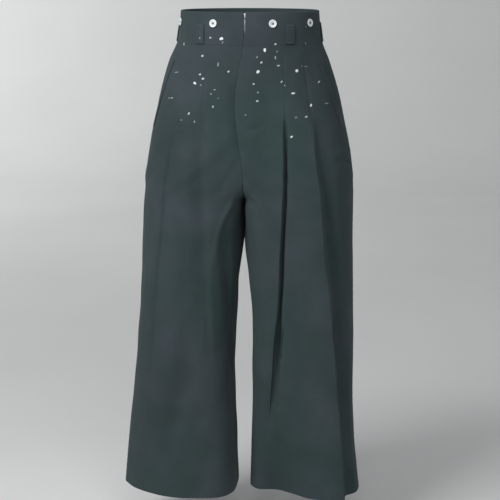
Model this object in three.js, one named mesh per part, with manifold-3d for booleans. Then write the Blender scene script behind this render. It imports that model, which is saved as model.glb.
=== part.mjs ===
// Baggy high-waisted trousers, hollow and filled out as they hang when worn.
// Millimetres, +Z up, front towards -Y, the wearer's left towards +X.
// The origin is the centre of the waist, 20 mm below the waistband's top edge.

import * as THREE from "three";
import Module from "manifold-3d";
import { mergeVertices } from "three/addons/utils/BufferGeometryUtils.js";

// Driving sizes
const TOP_EDGE = 20; // top of the waistband
const WAIST_SEAM = -42; // waistband meets the panels
const CROTCH = -336; // crotch point, where the four panels meet
const HEM = -943; // lower edge of both legs
const SEAM_GAP = 0.3; // clear space between two pieces sewn together
const CLOTH = 1.6; // wall of a panel
const HEM_DEPTH = 38; // turned-up hem, two layers
const HEM_WALL = 3.2;
const BAND_WALL = 3; // interfaced waistband
const BAND_PROUD = 0.4; // how far the waistband stands out from the panels

const SLIT_WIDTH = 3.6; // centre front opening at the top edge, over the zip
const SLIT_END = -20;

const LOOP_WIDTH = 18;
const LOOP_TOP = -3;
const LOOP_BOTTOM = -41;
const LOOP_WALL = 1.6;
const LOOP_SEAT = 0.9; // clear height of a loop's sewn ends over the panel
const LOOP_RISE = 1.7; // how far its middle bows out beyond that
const FRONT_LOOP_X = { left: 83, right: 87 };

const BUTTON_RADIUS = 7.6;
const BUTTON_HEIGHT = -2; // level of the button row
const BUTTON_HOLE_RADIUS = 0.95;
const BUTTON_HOLE_OFFSET = 1.75;
const BUTTON_FACETS = 20;
const BUTTON_LIFT = 1; // back of the button over the panel's surface
const BUTTON_X = { left: { front: 51, side: 118 }, right: { front: 61, side: 130 } };

const ZIP_TOP = 8;
const ZIP_END = -96;
const ZIP_HALF_WIDTH = 12;
const ZIP_DEPTH = 3; // tape's face behind the cloth's outer face
const ZIP_WALL = 1;
const SLIDER = { width: 7, height: 9, wall: 2.6 };
const SLIDER_DEPTH = 2.7; // its front face behind the cloth's outer face

// The folded fly edge behind the wearer's left front, which backs the step at the seam
const FLY_EDGE = { depth: 6.5, width: 16, top: -96, full: -130, ease: -270, end: -318 };

const POCKET_TOP = -74;
const POCKET_END = -206;
const POCKET_FORWARD = { top: 52, end: 37 }; // from the side seam to the pocket mouth
const WELT_WIDTH = 9;
const WELT_WALL = 1.3;
const WELT_LIFT = 0.3;

const CORNER = 18; // from a leg's inner end to where its cloth turns towards the front or back
const RING_STEPS = 720; // points of a leg's oval before it is resampled
const SLOPE_STEP = 1.5; // height step that gives the wall's slope
const SLOPE_REACH = 2; // ring steps to each side that give its direction
const FOLD_SPREAD = 0.4; // sideways share of a fold's rise, which is mostly to the front or back

// Levels of the worn shape. Each leg's section is an oval from inner to out, from
// the middle line sideways, and from -front to back. inner is below zero where
// the two ovals run into each other, above the crotch. crest is how far out its
// deepest point lies and middle the depth of its widest point.
const LEVELS = [
  { z: 20, outRight: 134, outLeft: 134, inner: -134, crest: 0, front: 102, back: 98, middle: 0 },
  { z: -10, outRight: 136, outLeft: 136, inner: -136, crest: 0, front: 104, back: 100, middle: 0 },
  { z: -42, outRight: 142, outLeft: 141, inner: -141, crest: 0, front: 107, back: 105, middle: 0 },
  { z: -78, outRight: 158, outLeft: 155, inner: -152, crest: 3, front: 112, back: 115, middle: 0 },
  { z: -136, outRight: 174, outLeft: 173, inner: -158, crest: 12, front: 118, back: 129, middle: 0 },
  { z: -195, outRight: 188, outLeft: 186, inner: -142, crest: 27, front: 122, back: 137, middle: 0 },
  { z: -255, outRight: 199, outLeft: 198, inner: -96, crest: 46, front: 125, back: 138, middle: 0 },
  { z: -300, outRight: 205.5, outLeft: 203, inner: -44, crest: 61, front: 126, back: 136, middle: 0 },
  { z: -324, outRight: 207.5, outLeft: 204, inner: -13, crest: 69, front: 126, back: 134, middle: 0 },
  { z: -336, outRight: 208.5, outLeft: 204.5, inner: 0.25, crest: 73, front: 126, back: 133, middle: 0 },
  { z: -352, outRight: 209.5, outLeft: 204.5, inner: 1.6, crest: 78, front: 126, back: 132, middle: 0 },
  { z: -430, outRight: 213, outLeft: 204.5, inner: 4, crest: 94, front: 124, back: 127, middle: -1 },
  { z: -496, outRight: 216, outLeft: 206, inner: 11.5, crest: 103, front: 121, back: 122, middle: -2 },
  { z: -558, outRight: 220, outLeft: 207, inner: 16.5, crest: 109, front: 118, back: 118, middle: -3 },
  { z: -650, outRight: 227, outLeft: 208.5, inner: 19.5, crest: 115, front: 114, back: 113, middle: -4 },
  { z: -745, outRight: 237, outLeft: 208.5, inner: 19, crest: 119, front: 111, back: 110, middle: -5 },
  { z: -840, outRight: 248, outLeft: 213, inner: 16.5, crest: 121, front: 108, back: 107, middle: -6 },
  { z: -900, outRight: 254, outLeft: 219, inner: 14.5, crest: 122, front: 106, back: 106, middle: -6 },
  { z: -943, outRight: 258, outLeft: 224, inner: 13, crest: 122, front: 105, back: 105, middle: -6 },
];

// Squareness of the ovals' quarters, 2 for an ellipse: each leg's outer quarters, and
// its inner ones, where the cloth is pressed flat below the crotch
const SQUARENESS = [
  { z: 20, outerRight: 2.1, outerLeft: 2.1, innerRight: 2.1, innerLeft: 2.1 },
  { z: -78, outerRight: 2.15, outerLeft: 2.15, innerRight: 2.3, innerLeft: 2.3 },
  { z: -195, outerRight: 2.3, outerLeft: 2.3, innerRight: 3, innerLeft: 3 },
  { z: -300, outerRight: 2.4, outerLeft: 2.4, innerRight: 4.3, innerLeft: 4.4 },
  { z: -336, outerRight: 2.4, outerLeft: 2.4, innerRight: 4.4, innerLeft: 4.6 },
  { z: -372, outerRight: 2.36, outerLeft: 2.36, innerRight: 3.9, innerLeft: 4.3 },
  { z: -430, outerRight: 2.3, outerLeft: 2.3, innerRight: 3.3, innerLeft: 3.7 },
  { z: -558, outerRight: 2.2, outerLeft: 2.22, innerRight: 3.1, innerLeft: 3 },
  { z: -745, outerRight: 2, outerLeft: 2.15, innerRight: 3.2, innerLeft: 2.4 },
  { z: -943, outerRight: 1.5, outerLeft: 2.1, innerRight: 3.4, innerLeft: 1.45 },
];

// Course of the line between the two halves. In front it is straight at the zip and
// bowed to the wearer's right by the fly's drag fold. Below the crotch it is the
// middle of the gap between the legs.
const MIDDLE_LINE = [
  { z: 20, front: -1.3, back: 0 },
  { z: -15, front: -1.4, back: 0 },
  { z: -50, front: -5, back: 0 },
  { z: -97, front: -13, back: 0 },
  { z: -144, front: -18, back: -0.5 },
  { z: -191, front: -16, back: -1 },
  { z: -239, front: -9, back: -2 },
  { z: -273, front: -4, back: -2.5 },
  { z: -316, front: -3, back: -3 },
  { z: -336, front: -4.5, back: -4.5 },
  { z: -354, front: -7, back: -7 },
  { z: -435, front: -9.5, back: -9.5 },
  { z: -560, front: -11, back: -11 },
  { z: -745, front: -12.5, back: -12.5 },
  { z: -943, front: -12, back: -12 },
];

// Folds. Each course gives, from the top down, the height, the distance from the
// middle of the body and the rise of the crest, below zero for a trough.
// inward and outward are the fold's width on each side of its crest, towards the
// middle and towards the side seam. sharp is 1 for a crease and 2 for a soft roll.
const FOLDS = {
  left: {
    front: {
      innerPleat: {
        inward: 6, outward: 6, sharp: 1.5,
        course: [
          { z: -42, x: 70, rise: 0 },
          { z: -172, x: 77, rise: 0 },
          { z: -198, x: 78, rise: -6 },
          { z: -225, x: 79, rise: -11 },
          { z: -314, x: 79, rise: -18 },
          { z: -430, x: 74, rise: -21 },
          { z: -529, x: 70, rise: -20 },
          { z: -640, x: 60, rise: -15 },
          { z: -730, x: 50, rise: -7 },
          { z: -800, x: 40, rise: 0 },
        ],
      },
      centreHollow: {
        inward: 40, outward: 40, sharp: 2,
        course: [
          { z: -50, x: 40, rise: 0 },
          { z: -110, x: 40, rise: -3 },
          { z: -200, x: 40, rise: -4 },
          { z: -290, x: 38, rise: -3 },
          { z: -330, x: 36, rise: 0 },
        ],
      },
      innerHollow: {
        inward: 70, outward: 130, sharp: 2,
        course: [
          { z: -500, x: 75, rise: 0 },
          { z: -650, x: 62, rise: -6 },
          { z: -770, x: 56, rise: -14 },
          { z: -860, x: 58, rise: -25 },
          { z: -943, x: 60, rise: -38 },
        ],
      },
      outerPleat: {
        inward: 70, outward: 9, sharp: 1.2,
        course: [
          { z: -42, x: 106, rise: 0 },
          { z: -165, x: 124, rise: 0 },
          { z: -196, x: 128, rise: 3 },
          { z: -237, x: 132, rise: 7 },
          { z: -332, x: 144, rise: 13 },
          { z: -449, x: 152, rise: 17 },
          { z: -527, x: 161, rise: 19 },
          { z: -646, x: 170, rise: 21 },
          { z: -728, x: 175, rise: 22 },
          { z: -809, x: 181, rise: 22 },
          { z: -890, x: 187, rise: 22 },
          { z: -943, x: 191, rise: 21 },
        ],
      },
      outerHollow: {
        inward: 14, outward: 36, sharp: 1.5,
        course: [
          { z: -185, x: 136, rise: 0 },
          { z: -240, x: 143, rise: -5 },
          { z: -332, x: 155, rise: -11 },
          { z: -527, x: 173, rise: -14 },
          { z: -728, x: 187, rise: -13 },
          { z: -860, x: 197, rise: -10 },
          { z: -943, x: 203, rise: -7 },
        ],
      },
      crotchDrag: {
        inward: 12, outward: 14, sharp: 2,
        course: [
          { z: -322, x: 16, rise: 0 },
          { z: -344, x: 30, rise: 3 },
          { z: -372, x: 48, rise: 3 },
          { z: -410, x: 62, rise: 0 },
        ],
      },
    },
    back: {
      seatDrag: {
        inward: 18, outward: 20, sharp: 2,
        course: [
          { z: -322, x: 26, rise: 0 },
          { z: -352, x: 58, rise: -4 },
          { z: -388, x: 94, rise: -5 },
          { z: -430, x: 130, rise: 0 },
        ],
      },
      backRoll: {
        inward: 36, outward: 30, sharp: 2,
        course: [
          { z: -42, x: 78, rise: 0 },
          { z: -160, x: 100, rise: 0 },
          { z: -260, x: 110, rise: 1 },
          { z: -420, x: 108, rise: 6 },
          { z: -640, x: 104, rise: 9 },
          { z: -943, x: 96, rise: 12 },
        ],
      },
      backHollow: {
        inward: 24, outward: 24, sharp: 1.8,
        course: [
          { z: -42, x: 112, rise: 0 },
          { z: -160, x: 138, rise: 0 },
          { z: -360, x: 158, rise: -1 },
          { z: -520, x: 160, rise: -7 },
          { z: -740, x: 166, rise: -9 },
          { z: -943, x: 172, rise: -11 },
        ],
      },
      innerHollow: {
        inward: 22, outward: 24, sharp: 1.8,
        course: [
          { z: -430, x: 46, rise: 0 },
          { z: -600, x: 50, rise: -8 },
          { z: -780, x: 52, rise: -6 },
          { z: -900, x: 52, rise: 0 },
        ],
      },
    },
  },
  right: {
    front: {
      centreRoll: {
        inward: 1, outward: 22, sharp: 1.3, atSeam: true,
        course: [
          { z: -96, x: 0, rise: 0 },
          { z: -125, x: 0, rise: -4 },
          { z: -160, x: 0, rise: -6 },
          { z: -200, x: 0, rise: -6 },
          { z: -245, x: 0, rise: -4.5 },
          { z: -285, x: 0, rise: -2 },
          { z: -316, x: 0, rise: 0 },
        ],
      },
      innerPleat: {
        inward: 14, outward: 30, sharp: 1.8,
        course: [
          { z: -42, x: 72, rise: 0 },
          { z: -160, x: 80, rise: 0 },
          { z: -196, x: 81, rise: -4 },
          { z: -240, x: 82, rise: -6 },
          { z: -335, x: 80, rise: -7 },
          { z: -452, x: 78, rise: -6 },
          { z: -560, x: 76, rise: -4 },
          { z: -680, x: 70, rise: 0 },
        ],
      },
      outerPleat: {
        inward: 46, outward: 14, sharp: 1.4,
        course: [
          { z: -42, x: 112, rise: 0 },
          { z: -160, x: 136, rise: 0 },
          { z: -226, x: 141, rise: -4 },
          { z: -305, x: 153, rise: -6 },
          { z: -371, x: 158, rise: -7 },
          { z: -456, x: 168, rise: -7 },
          { z: -560, x: 178, rise: -5 },
          { z: -680, x: 188, rise: -2 },
          { z: -780, x: 196, rise: 0 },
        ],
      },
      slantHollow: {
        inward: 30, outward: 34, sharp: 2,
        course: [
          { z: -470, x: 96, rise: 0 },
          { z: -600, x: 108, rise: -4 },
          { z: -740, x: 130, rise: -6 },
          { z: -850, x: 156, rise: -4 },
          { z: -920, x: 172, rise: 0 },
        ],
      },
      thighHollow: {
        inward: 22, outward: 24, sharp: 2,
        course: [
          { z: -350, x: 34, rise: 0 },
          { z: -420, x: 36, rise: -5 },
          { z: -560, x: 35, rise: -6 },
          { z: -680, x: 34, rise: -3 },
          { z: -780, x: 32, rise: 0 },
        ],
      },
      crotchDrag: {
        inward: 11, outward: 12, sharp: 1.8,
        course: [
          { z: -320, x: 14, rise: 0 },
          { z: -345, x: 26, rise: 4 },
          { z: -380, x: 42, rise: 5 },
          { z: -425, x: 54, rise: 3 },
          { z: -480, x: 60, rise: 0 },
        ],
      },
    },
    back: {
      seatDrag: {
        inward: 18, outward: 20, sharp: 2,
        course: [
          { z: -322, x: 24, rise: 0 },
          { z: -346, x: 52, rise: -4 },
          { z: -378, x: 88, rise: -5 },
          { z: -424, x: 122, rise: 0 },
        ],
      },
      backRoll: {
        inward: 34, outward: 34, sharp: 2,
        course: [
          { z: -42, x: 80, rise: 0 },
          { z: -160, x: 102, rise: 0 },
          { z: -290, x: 114, rise: 1 },
          { z: -450, x: 116, rise: 7 },
          { z: -680, x: 122, rise: 9 },
          { z: -943, x: 130, rise: 10 },
        ],
      },
      backHollow: {
        inward: 24, outward: 26, sharp: 1.8,
        course: [
          { z: -42, x: 114, rise: 0 },
          { z: -160, x: 140, rise: 0 },
          { z: -340, x: 162, rise: -1 },
          { z: -500, x: 170, rise: -7 },
          { z: -720, x: 182, rise: -8 },
          { z: -943, x: 196, rise: -12 },
        ],
      },
      innerHollow: {
        inward: 24, outward: 26, sharp: 1.8,
        course: [
          { z: -420, x: 54, rise: 0 },
          { z: -620, x: 60, rise: -9 },
          { z: -800, x: 64, rise: -7 },
          { z: -943, x: 66, rise: -4 },
        ],
      },
    },
  },
};

const LEGS = {
  left: {
    name: "left", side: 1, out: "outLeft", outerSquare: "outerLeft", innerSquare: "innerLeft", folds: FOLDS.left,
  },
  right: {
    name: "right", side: -1, out: "outRight", outerSquare: "outerRight", innerSquare: "innerRight",
    folds: FOLDS.right,
  },
};

// Columns of each panel follow its folds, so that a crease falls on an edge of
// the mesh: each guide is a fold and a distance from its crest, and spans says how
// many columns lie between one guide and the next.
const BACK_COLUMNS = {
  guides: [
    ["backHollow", -14], ["backHollow", 0], ["backHollow", 14],
    ["backRoll", -16], ["backRoll", 0], ["backRoll", 18], ["corner", 0],
  ],
  spans: [4, 2, 2, 1, 2, 2, 3, 4],
};
const COLUMNS = {
  left: {
    front: {
      guides: [
        ["corner", 0],
        ["innerPleat", -6], ["innerPleat", -2.5], ["innerPleat", 0], ["innerPleat", 2.5], ["innerPleat", 6],
        ["outerPleat", -10], ["outerPleat", 0], ["outerPleat", 4], ["outerPleat", 9], ["outerPleat", 16],
      ],
      spans: [5, 4, 1, 1, 1, 1, 3, 2, 1, 1, 1, 4],
    },
    back: BACK_COLUMNS,
  },
  right: {
    front: {
      guides: [
        ["corner", 0],
        ["innerPleat", -14], ["innerPleat", -6], ["innerPleat", 0], ["innerPleat", 11], ["innerPleat", 22],
        ["outerPleat", -8], ["outerPleat", 0], ["outerPleat", 5], ["outerPleat", 10],
      ],
      spans: [5, 3, 1, 1, 1, 1, 2, 1, 1, 1, 4],
    },
    back: BACK_COLUMNS,
  },
};

const PANEL_ROWS = [
  WAIST_SEAM - SEAM_GAP, -66, -92, -118, -144, -170, -196, -224, -252, -278, -300, -316,
  -326, -332, CROTCH - 0.6, -346, -364, -392, -425, -460, -498, -540, -585, -630, -680,
  -730, -780, -830, -875, HEM + HEM_DEPTH + 1.5, HEM + HEM_DEPTH, HEM,
];
const BAND_ROWS = [TOP_EDGE, 8, -3.5, SLIT_END, -28, WAIST_SEAM];
const BAND_COLUMNS = 22;

// Smooth value of every column of a table at a height, rows given from the top down
function valuesAt(table, z) {
  const last = table.length - 1;
  if (z >= table[0].z) return table[0];
  if (z <= table[last].z) return table[last];
  let i = 0;
  while (z < table[i + 1].z) i++;
  const before = table[Math.max(i - 1, 0)];
  const above = table[i];
  const below = table[i + 1];
  const after = table[Math.min(i + 2, last)];
  const span = below.z - above.z;
  const t = (z - above.z) / span;
  const startWeight = (1 + 2 * t) * (1 - t) * (1 - t);
  const startSlope = t * (1 - t) * (1 - t) * span;
  const endWeight = t * t * (3 - 2 * t);
  const endSlope = t * t * (t - 1) * span;
  const found = {};
  for (const key of Object.keys(above)) {
    const slopeAbove = (below[key] - before[key]) / (below.z - before.z);
    const slopeBelow = (after[key] - above[key]) / (after.z - above.z);
    found[key] =
      startWeight * above[key] + startSlope * slopeAbove + endWeight * below[key] + endSlope * slopeBelow;
  }
  return found;
}

// Angle on the oval, from its innermost point round the front, where it meets the
// line beside the middle line at which the panels end
function startAngle(crest, half, square) {
  const reach = (crest - SEAM_GAP / 2) / half;
  if (reach >= 1) return 0;
  if (Math.abs(reach) < 1e-9) return Math.PI / 2;
  const slope = Math.pow(Math.pow(Math.abs(reach), -square) - 1, 1 / square);
  const angle = Math.atan(slope);
  return reach > 0 ? angle : Math.PI - angle;
}

function foldProfile(fold, distance, isFront) {
  const towardsSide = isFront ? distance > 0 : distance < 0;
  const reach = Math.abs(distance) / (towardsSide ? fold.outward : fold.inward);
  return reach < 1 ? Math.pow(1 - Math.pow(reach, fold.sharp), 2) : 0;
}

// A leg's plain oval at a height, from its innermost point round the front, the
// side and the back: points, how far each lies from the middle line, and the
// length along it
function ovalOf(leg, at, square, middleLine) {
  const out = at[leg.out];
  const points = [];
  const reaches = [];
  const length = [0];
  for (let i = 0; i <= RING_STEPS; i++) {
    const angle = (2 * Math.PI * i) / RING_STEPS;
    const across = Math.cos(angle);
    const along = Math.sin(angle);
    const power = across > 0 ? square.inner : square.outer;
    const radius = Math.pow(Math.abs(across) ** power + Math.abs(along) ** power, -1 / power);
    const half = across > 0 ? at.crest - at.inner : out - at.crest;
    const reach = at.crest - half * across * radius;
    const depth = along > 0 ? at.front + at.middle : at.back - at.middle;
    const shift = along > 0 ? middleLine.front : middleLine.back;
    const pull = shift * (1 - (reach / out) ** 2);
    points.push({ x: leg.side * reach + pull, y: at.middle - depth * along * radius });
    reaches.push(reach);
  }
  for (let i = 1; i <= RING_STEPS; i++) {
    const step = Math.hypot(points[i].x - points[i - 1].x, points[i].y - points[i - 1].y);
    length.push(length[i - 1] + step);
  }
  return { points, reaches, length };
}

// One level of a leg: its oval with the folds laid on it, where its panels start
// and end along it, and where its folds run
function levelOf(leg, z) {
  const at = valuesAt(LEVELS, z);
  const squareness = valuesAt(SQUARENESS, z);
  const square = { inner: squareness[leg.innerSquare], outer: squareness[leg.outerSquare] };
  const { points: plain, reaches, length } = ovalOf(leg, at, square, valuesAt(MIDDLE_LINE, z));
  const open = startAngle(at.crest, at.crest - at.inner, square.inner);
  const lengthAt = (angle) => {
    const place = (angle / (2 * Math.PI)) * RING_STEPS;
    const i = Math.min(Math.floor(place), RING_STEPS - 1);
    return length[i] + (length[i + 1] - length[i]) * (place - i);
  };
  const start = open > 0 ? lengthAt(open) : SEAM_GAP / 2;
  const end = open > 0 ? lengthAt(2 * Math.PI - open) : length[RING_STEPS] - SEAM_GAP / 2;
  const half = RING_STEPS / 2;
  const crests = { front: {}, back: {} };
  const rise = new Array(RING_STEPS + 1).fill(0);
  const positions = plain.map((p) => leg.side * p.x);
  for (const face of ["front", "back"]) {
    const isFront = face === "front";
    crests[face].corner = lengthWhere(reaches, length, Math.max(at.inner, 0) + CORNER, face);
    for (const [name, fold] of Object.entries(leg.folds[face])) {
      const course = valuesAt(fold.course, z);
      const crest = fold.atSeam ? start : lengthWhere(positions, length, course.x, face);
      crests[face][name] = crest;
      for (let i = isFront ? 0 : half; i <= (isFront ? half : RING_STEPS); i++) {
        rise[i] += course.rise * foldProfile(fold, length[i] - crest, isFront);
      }
    }
  }
  const points = plain.map((p, i) => {
    const next = plain[i === RING_STEPS ? 1 : i + 1];
    const previous = plain[i === 0 ? RING_STEPS - 1 : i - 1];
    const outward = new THREE.Vector2(next.y - previous.y, previous.x - next.x).multiplyScalar(leg.side);
    outward.x *= FOLD_SPREAD;
    outward.normalize();
    return new THREE.Vector3(p.x + outward.x * rise[i], p.y + outward.y * rise[i], z);
  });
  return { points, length, start, end, sideSeam: length[half], crests };
}

// Length along the oval, on its front or back, where a value first reaches x
function lengthWhere(values, length, x, face) {
  const half = RING_STEPS / 2;
  for (let step = 1; step <= half; step++) {
    const i = face === "front" ? step : RING_STEPS - step;
    const previous = face === "front" ? i - 1 : i + 1;
    if (values[i] < x) continue;
    const share = Math.min(1, Math.max(0, (x - values[previous]) / (values[i] - values[previous])));
    return length[previous] + (length[i] - length[previous]) * share;
  }
  return length[half];
}

function placeOn(level, distance) {
  const { length, points } = level;
  let low = 0;
  let high = length.length - 1;
  while (high - low > 1) {
    const middle = (low + high) >> 1;
    if (length[middle] <= distance) low = middle;
    else high = middle;
  }
  const share = (distance - length[low]) / (length[high] - length[low]);
  return { index: low + share, point: points[low].clone().lerp(points[high], share) };
}

function pointAtIndex(level, index) {
  const i = Math.min(Math.floor(index), level.points.length - 2);
  return level.points[i].clone().lerp(level.points[i + 1], index - i);
}

// A level with its neighbours just above and below, which give the wall's slope
function sampledLevel(leg, z) {
  return {
    leg,
    at: levelOf(leg, z),
    above: levelOf(leg, z + SLOPE_STEP),
    below: levelOf(leg, z - SLOPE_STEP),
  };
}

// Point of the cloth's outer face, and its outward normal
function surfacePoint(sampled, distance) {
  const { leg, at, above, below } = sampled;
  const { index, point } = placeOn(at, distance);
  const ahead = pointAtIndex(at, Math.min(index + SLOPE_REACH, RING_STEPS));
  const behind = pointAtIndex(at, Math.max(index - SLOPE_REACH, 0));
  const along = ahead.sub(behind);
  const down = pointAtIndex(below, index).sub(pointAtIndex(above, index));
  const normal = new THREE.Vector3().crossVectors(down, along).multiplyScalar(leg.side).normalize();
  return { point, normal };
}

function moved({ point, normal }, distance) {
  return point.clone().addScaledVector(normal, distance);
}

// Closed wall between two grids of points, outer and inner, rows by columns.
// flip turns its faces round, for a grid laid out the other way.
function wallGeometry(outer, inner, flip) {
  const rows = outer.length;
  const columns = outer[0].length;
  const positions = [];
  for (const grid of [outer, inner]) {
    for (const row of grid) for (const p of row) positions.push(p.x, p.y, p.z);
  }
  const id = (layer, row, column) => layer * rows * columns + row * columns + column;
  const index = [];
  const quad = (a, b, c, d) => {
    if (flip) index.push(a, c, b, a, d, c);
    else index.push(a, b, c, a, c, d);
  };
  for (let r = 0; r < rows - 1; r++) {
    for (let c = 0; c < columns - 1; c++) {
      quad(id(0, r, c), id(0, r + 1, c), id(0, r + 1, c + 1), id(0, r, c + 1));
      quad(id(1, r, c), id(1, r, c + 1), id(1, r + 1, c + 1), id(1, r + 1, c));
    }
    quad(id(0, r, 0), id(1, r, 0), id(1, r + 1, 0), id(0, r + 1, 0));
    quad(id(0, r, columns - 1), id(0, r + 1, columns - 1), id(1, r + 1, columns - 1), id(1, r, columns - 1));
  }
  for (let c = 0; c < columns - 1; c++) {
    quad(id(0, 0, c), id(0, 0, c + 1), id(1, 0, c + 1), id(1, 0, c));
    quad(id(0, rows - 1, c), id(1, rows - 1, c), id(1, rows - 1, c + 1), id(0, rows - 1, c + 1));
  }
  const geometry = new THREE.BufferGeometry();
  geometry.setAttribute("position", new THREE.Float32BufferAttribute(positions, 3));
  geometry.setIndex(index);
  geometry.computeVertexNormals();
  return geometry;
}

function spread(marks, spans) {
  const places = [marks[0]];
  for (let i = 0; i < spans.length; i++) {
    for (let k = 1; k <= spans[i]; k++) {
      places.push(marks[i] + ((marks[i + 1] - marks[i]) * k) / spans[i]);
    }
  }
  return places;
}

function smoothStep(from, to, value) {
  const t = Math.min(1, Math.max(0, (value - from) / (to - from)));
  return t * t * (3 - 2 * t);
}

// Extra wall of the fly edge at a height and a distance from the centre front seam
function flyEdge(z, distance) {
  const down = smoothStep(FLY_EDGE.top, FLY_EDGE.full, z) * smoothStep(FLY_EDGE.end, FLY_EDGE.ease, z);
  return FLY_EDGE.depth * down * (1 - smoothStep(0, FLY_EDGE.width, distance));
}

// A front or back panel, from the waist seam to the hem
function panelGeometry(leg, face) {
  const { guides, spans } = COLUMNS[leg.name][face];
  const hasFlyEdge = leg.name === "left" && face === "front";
  const outer = [];
  const inner = [];
  for (const z of PANEL_ROWS) {
    const level = sampledLevel(leg, z);
    const { start, end, sideSeam, crests } = level.at;
    const first = face === "front" ? start : sideSeam + SEAM_GAP / 2;
    const last = face === "front" ? sideSeam - SEAM_GAP / 2 : end;
    const marks = [first, ...guides.map(([name, offset]) => crests[face][name] + offset), last];
    const wall = z <= HEM + HEM_DEPTH ? HEM_WALL : CLOTH;
    const places = spread(marks, spans);
    const row = places.map((distance) => surfacePoint(level, distance));
    const outside = row.map((p) => p.point);
    const inside = row.map((p, i) => moved(p, -wall - (hasFlyEdge ? flyEdge(z, places[i] - first) : 0)));
    if (face === "front" && z > CROTCH) {
      const line = valuesAt(MIDDLE_LINE, z).front;
      keepBeside(outside[0], line, leg);
      keepBeside(inside[0], line, leg);
    }
    keepToFace(inside, face, valuesAt(LEVELS, z).middle);
    outer.push(outside);
    inner.push(inside);
  }
  for (const p of inner[0]) p.z = PANEL_ROWS[0];
  for (const p of inner[inner.length - 1]) p.z = HEM;
  return wallGeometry(outer, inner, leg.side < 0);
}

// A panel's inner points stay on its own side of the side seam and the inside leg seam
function keepToFace(points, face, seamDepth) {
  for (const p of points) {
    if (face === "front") p.y = Math.min(p.y, seamDepth - SEAM_GAP / 2);
    else p.y = Math.max(p.y, seamDepth + SEAM_GAP / 2);
  }
}

// Half of the waistband, from the centre front to the centre back
function bandGeometry(leg) {
  const outer = [];
  const inner = [];
  for (const z of BAND_ROWS) {
    const opened = Math.max(0, (z - SLIT_END) / (TOP_EDGE - SLIT_END));
    const closed = sampledLevel(leg, z);
    const slit = (opened * (SLIT_WIDTH - SEAM_GAP)) / 2;
    const { start, end } = closed.at;
    const row = spread([start + slit, end], [BAND_COLUMNS]).map((d) => surfacePoint(closed, d));
    outer.push(row.map((p) => moved(p, BAND_PROUD)));
    inner.push(row.map((p) => moved(p, BAND_PROUD - BAND_WALL)));
  }
  for (const grid of [outer, inner]) {
    for (const p of grid[0]) p.z = TOP_EDGE;
    for (const p of grid[grid.length - 1]) p.z = WAIST_SEAM;
    for (const row of grid) keepBesideMiddle(row, leg);
  }
  return wallGeometry(outer, inner, leg.side < 0);
}

// The ends of a band half stay clear of the middle line
function keepBesideMiddle(row, leg) {
  const middleLine = valuesAt(MIDDLE_LINE, row[0].z);
  const ends = [
    { point: row[0], line: middleLine.front },
    { point: row[row.length - 1], line: middleLine.back },
  ];
  for (const { point, line } of ends) keepBeside(point, line, leg);
}

function keepBeside(point, line, leg) {
  const clear = leg.side * (point.x - line);
  if (clear < SEAM_GAP / 2) point.x = line + (leg.side * SEAM_GAP) / 2;
}

// A strip of cloth that lies on the surface. placesAt gives the points across
// it at a height, and liftAt how far its under side is from the surface.
function stripGeometry(heights, placesAt, liftAt, wall, flip) {
  const outer = [];
  const inner = [];
  heights.forEach((z, i) => {
    const lift = liftAt(i / (heights.length - 1));
    const row = placesAt(z);
    outer.push(row.map((p) => moved(p, lift + wall)));
    inner.push(row.map((p) => moved(p, lift)));
  });
  return wallGeometry(outer, inner, flip);
}

function evenly(from, to, count) {
  return Array.from({ length: count + 1 }, (_, i) => from + ((to - from) * i) / count);
}

// A loop is sewn down at both ends and bows out between them
const loopLift = (t) => LOOP_SEAT + LOOP_RISE * Math.min(1, 4 * Math.min(t, 1 - t)) * Math.sin(Math.PI * t);

const loopHeights = evenly(LOOP_TOP, LOOP_BOTTOM, 10);

function frontLoopGeometry(leg) {
  const placesAt = (z) => {
    const level = sampledLevel(leg, z);
    const centre = frontAt(level, FRONT_LOOP_X[leg.name]);
    return evenly(centre - LOOP_WIDTH / 2, centre + LOOP_WIDTH / 2, 2).map((d) => surfacePoint(level, d));
  };
  return stripGeometry(loopHeights, placesAt, loopLift, LOOP_WALL, leg.side < 0);
}

function sideLoopGeometry(leg) {
  const placesAt = (z) => {
    const level = sampledLevel(leg, z);
    const seam = level.at.sideSeam;
    return evenly(seam - LOOP_WIDTH / 2, seam + LOOP_WIDTH / 2, 2).map((d) => surfacePoint(level, d));
  };
  return stripGeometry(loopHeights, placesAt, loopLift, LOOP_WALL, leg.side < 0);
}

// The centre back loop and the zip tape cross from one leg's oval to the other's
function acrossMiddle(z, isFront, halfWidth) {
  const left = sampledLevel(LEGS.left, z);
  const right = sampledLevel(LEGS.right, z);
  const along = (level, d) => (isFront ? level.at.start + d : level.at.end - d);
  const places = [
    surfacePoint(right, along(right, halfWidth)),
    surfacePoint(right, along(right, 0)),
    surfacePoint(left, along(left, 0)),
    surfacePoint(left, along(left, halfWidth)),
  ];
  const joined = {
    point: places[1].point.clone().lerp(places[2].point, 0.5),
    normal: places[1].normal.clone().add(places[2].normal).normalize(),
  };
  return [places[0], joined, places[3]];
}

function backLoopGeometry() {
  const placesAt = (z) => acrossMiddle(z, false, LOOP_WIDTH / 2);
  return stripGeometry(loopHeights, placesAt, loopLift, LOOP_WALL, true);
}

function zipTapeGeometry() {
  const placesAt = (z) => acrossMiddle(z, true, ZIP_HALF_WIDTH);
  const heights = evenly(ZIP_TOP, ZIP_END, 8);
  return stripGeometry(heights, placesAt, () => -ZIP_DEPTH - ZIP_WALL, ZIP_WALL, false);
}

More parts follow.
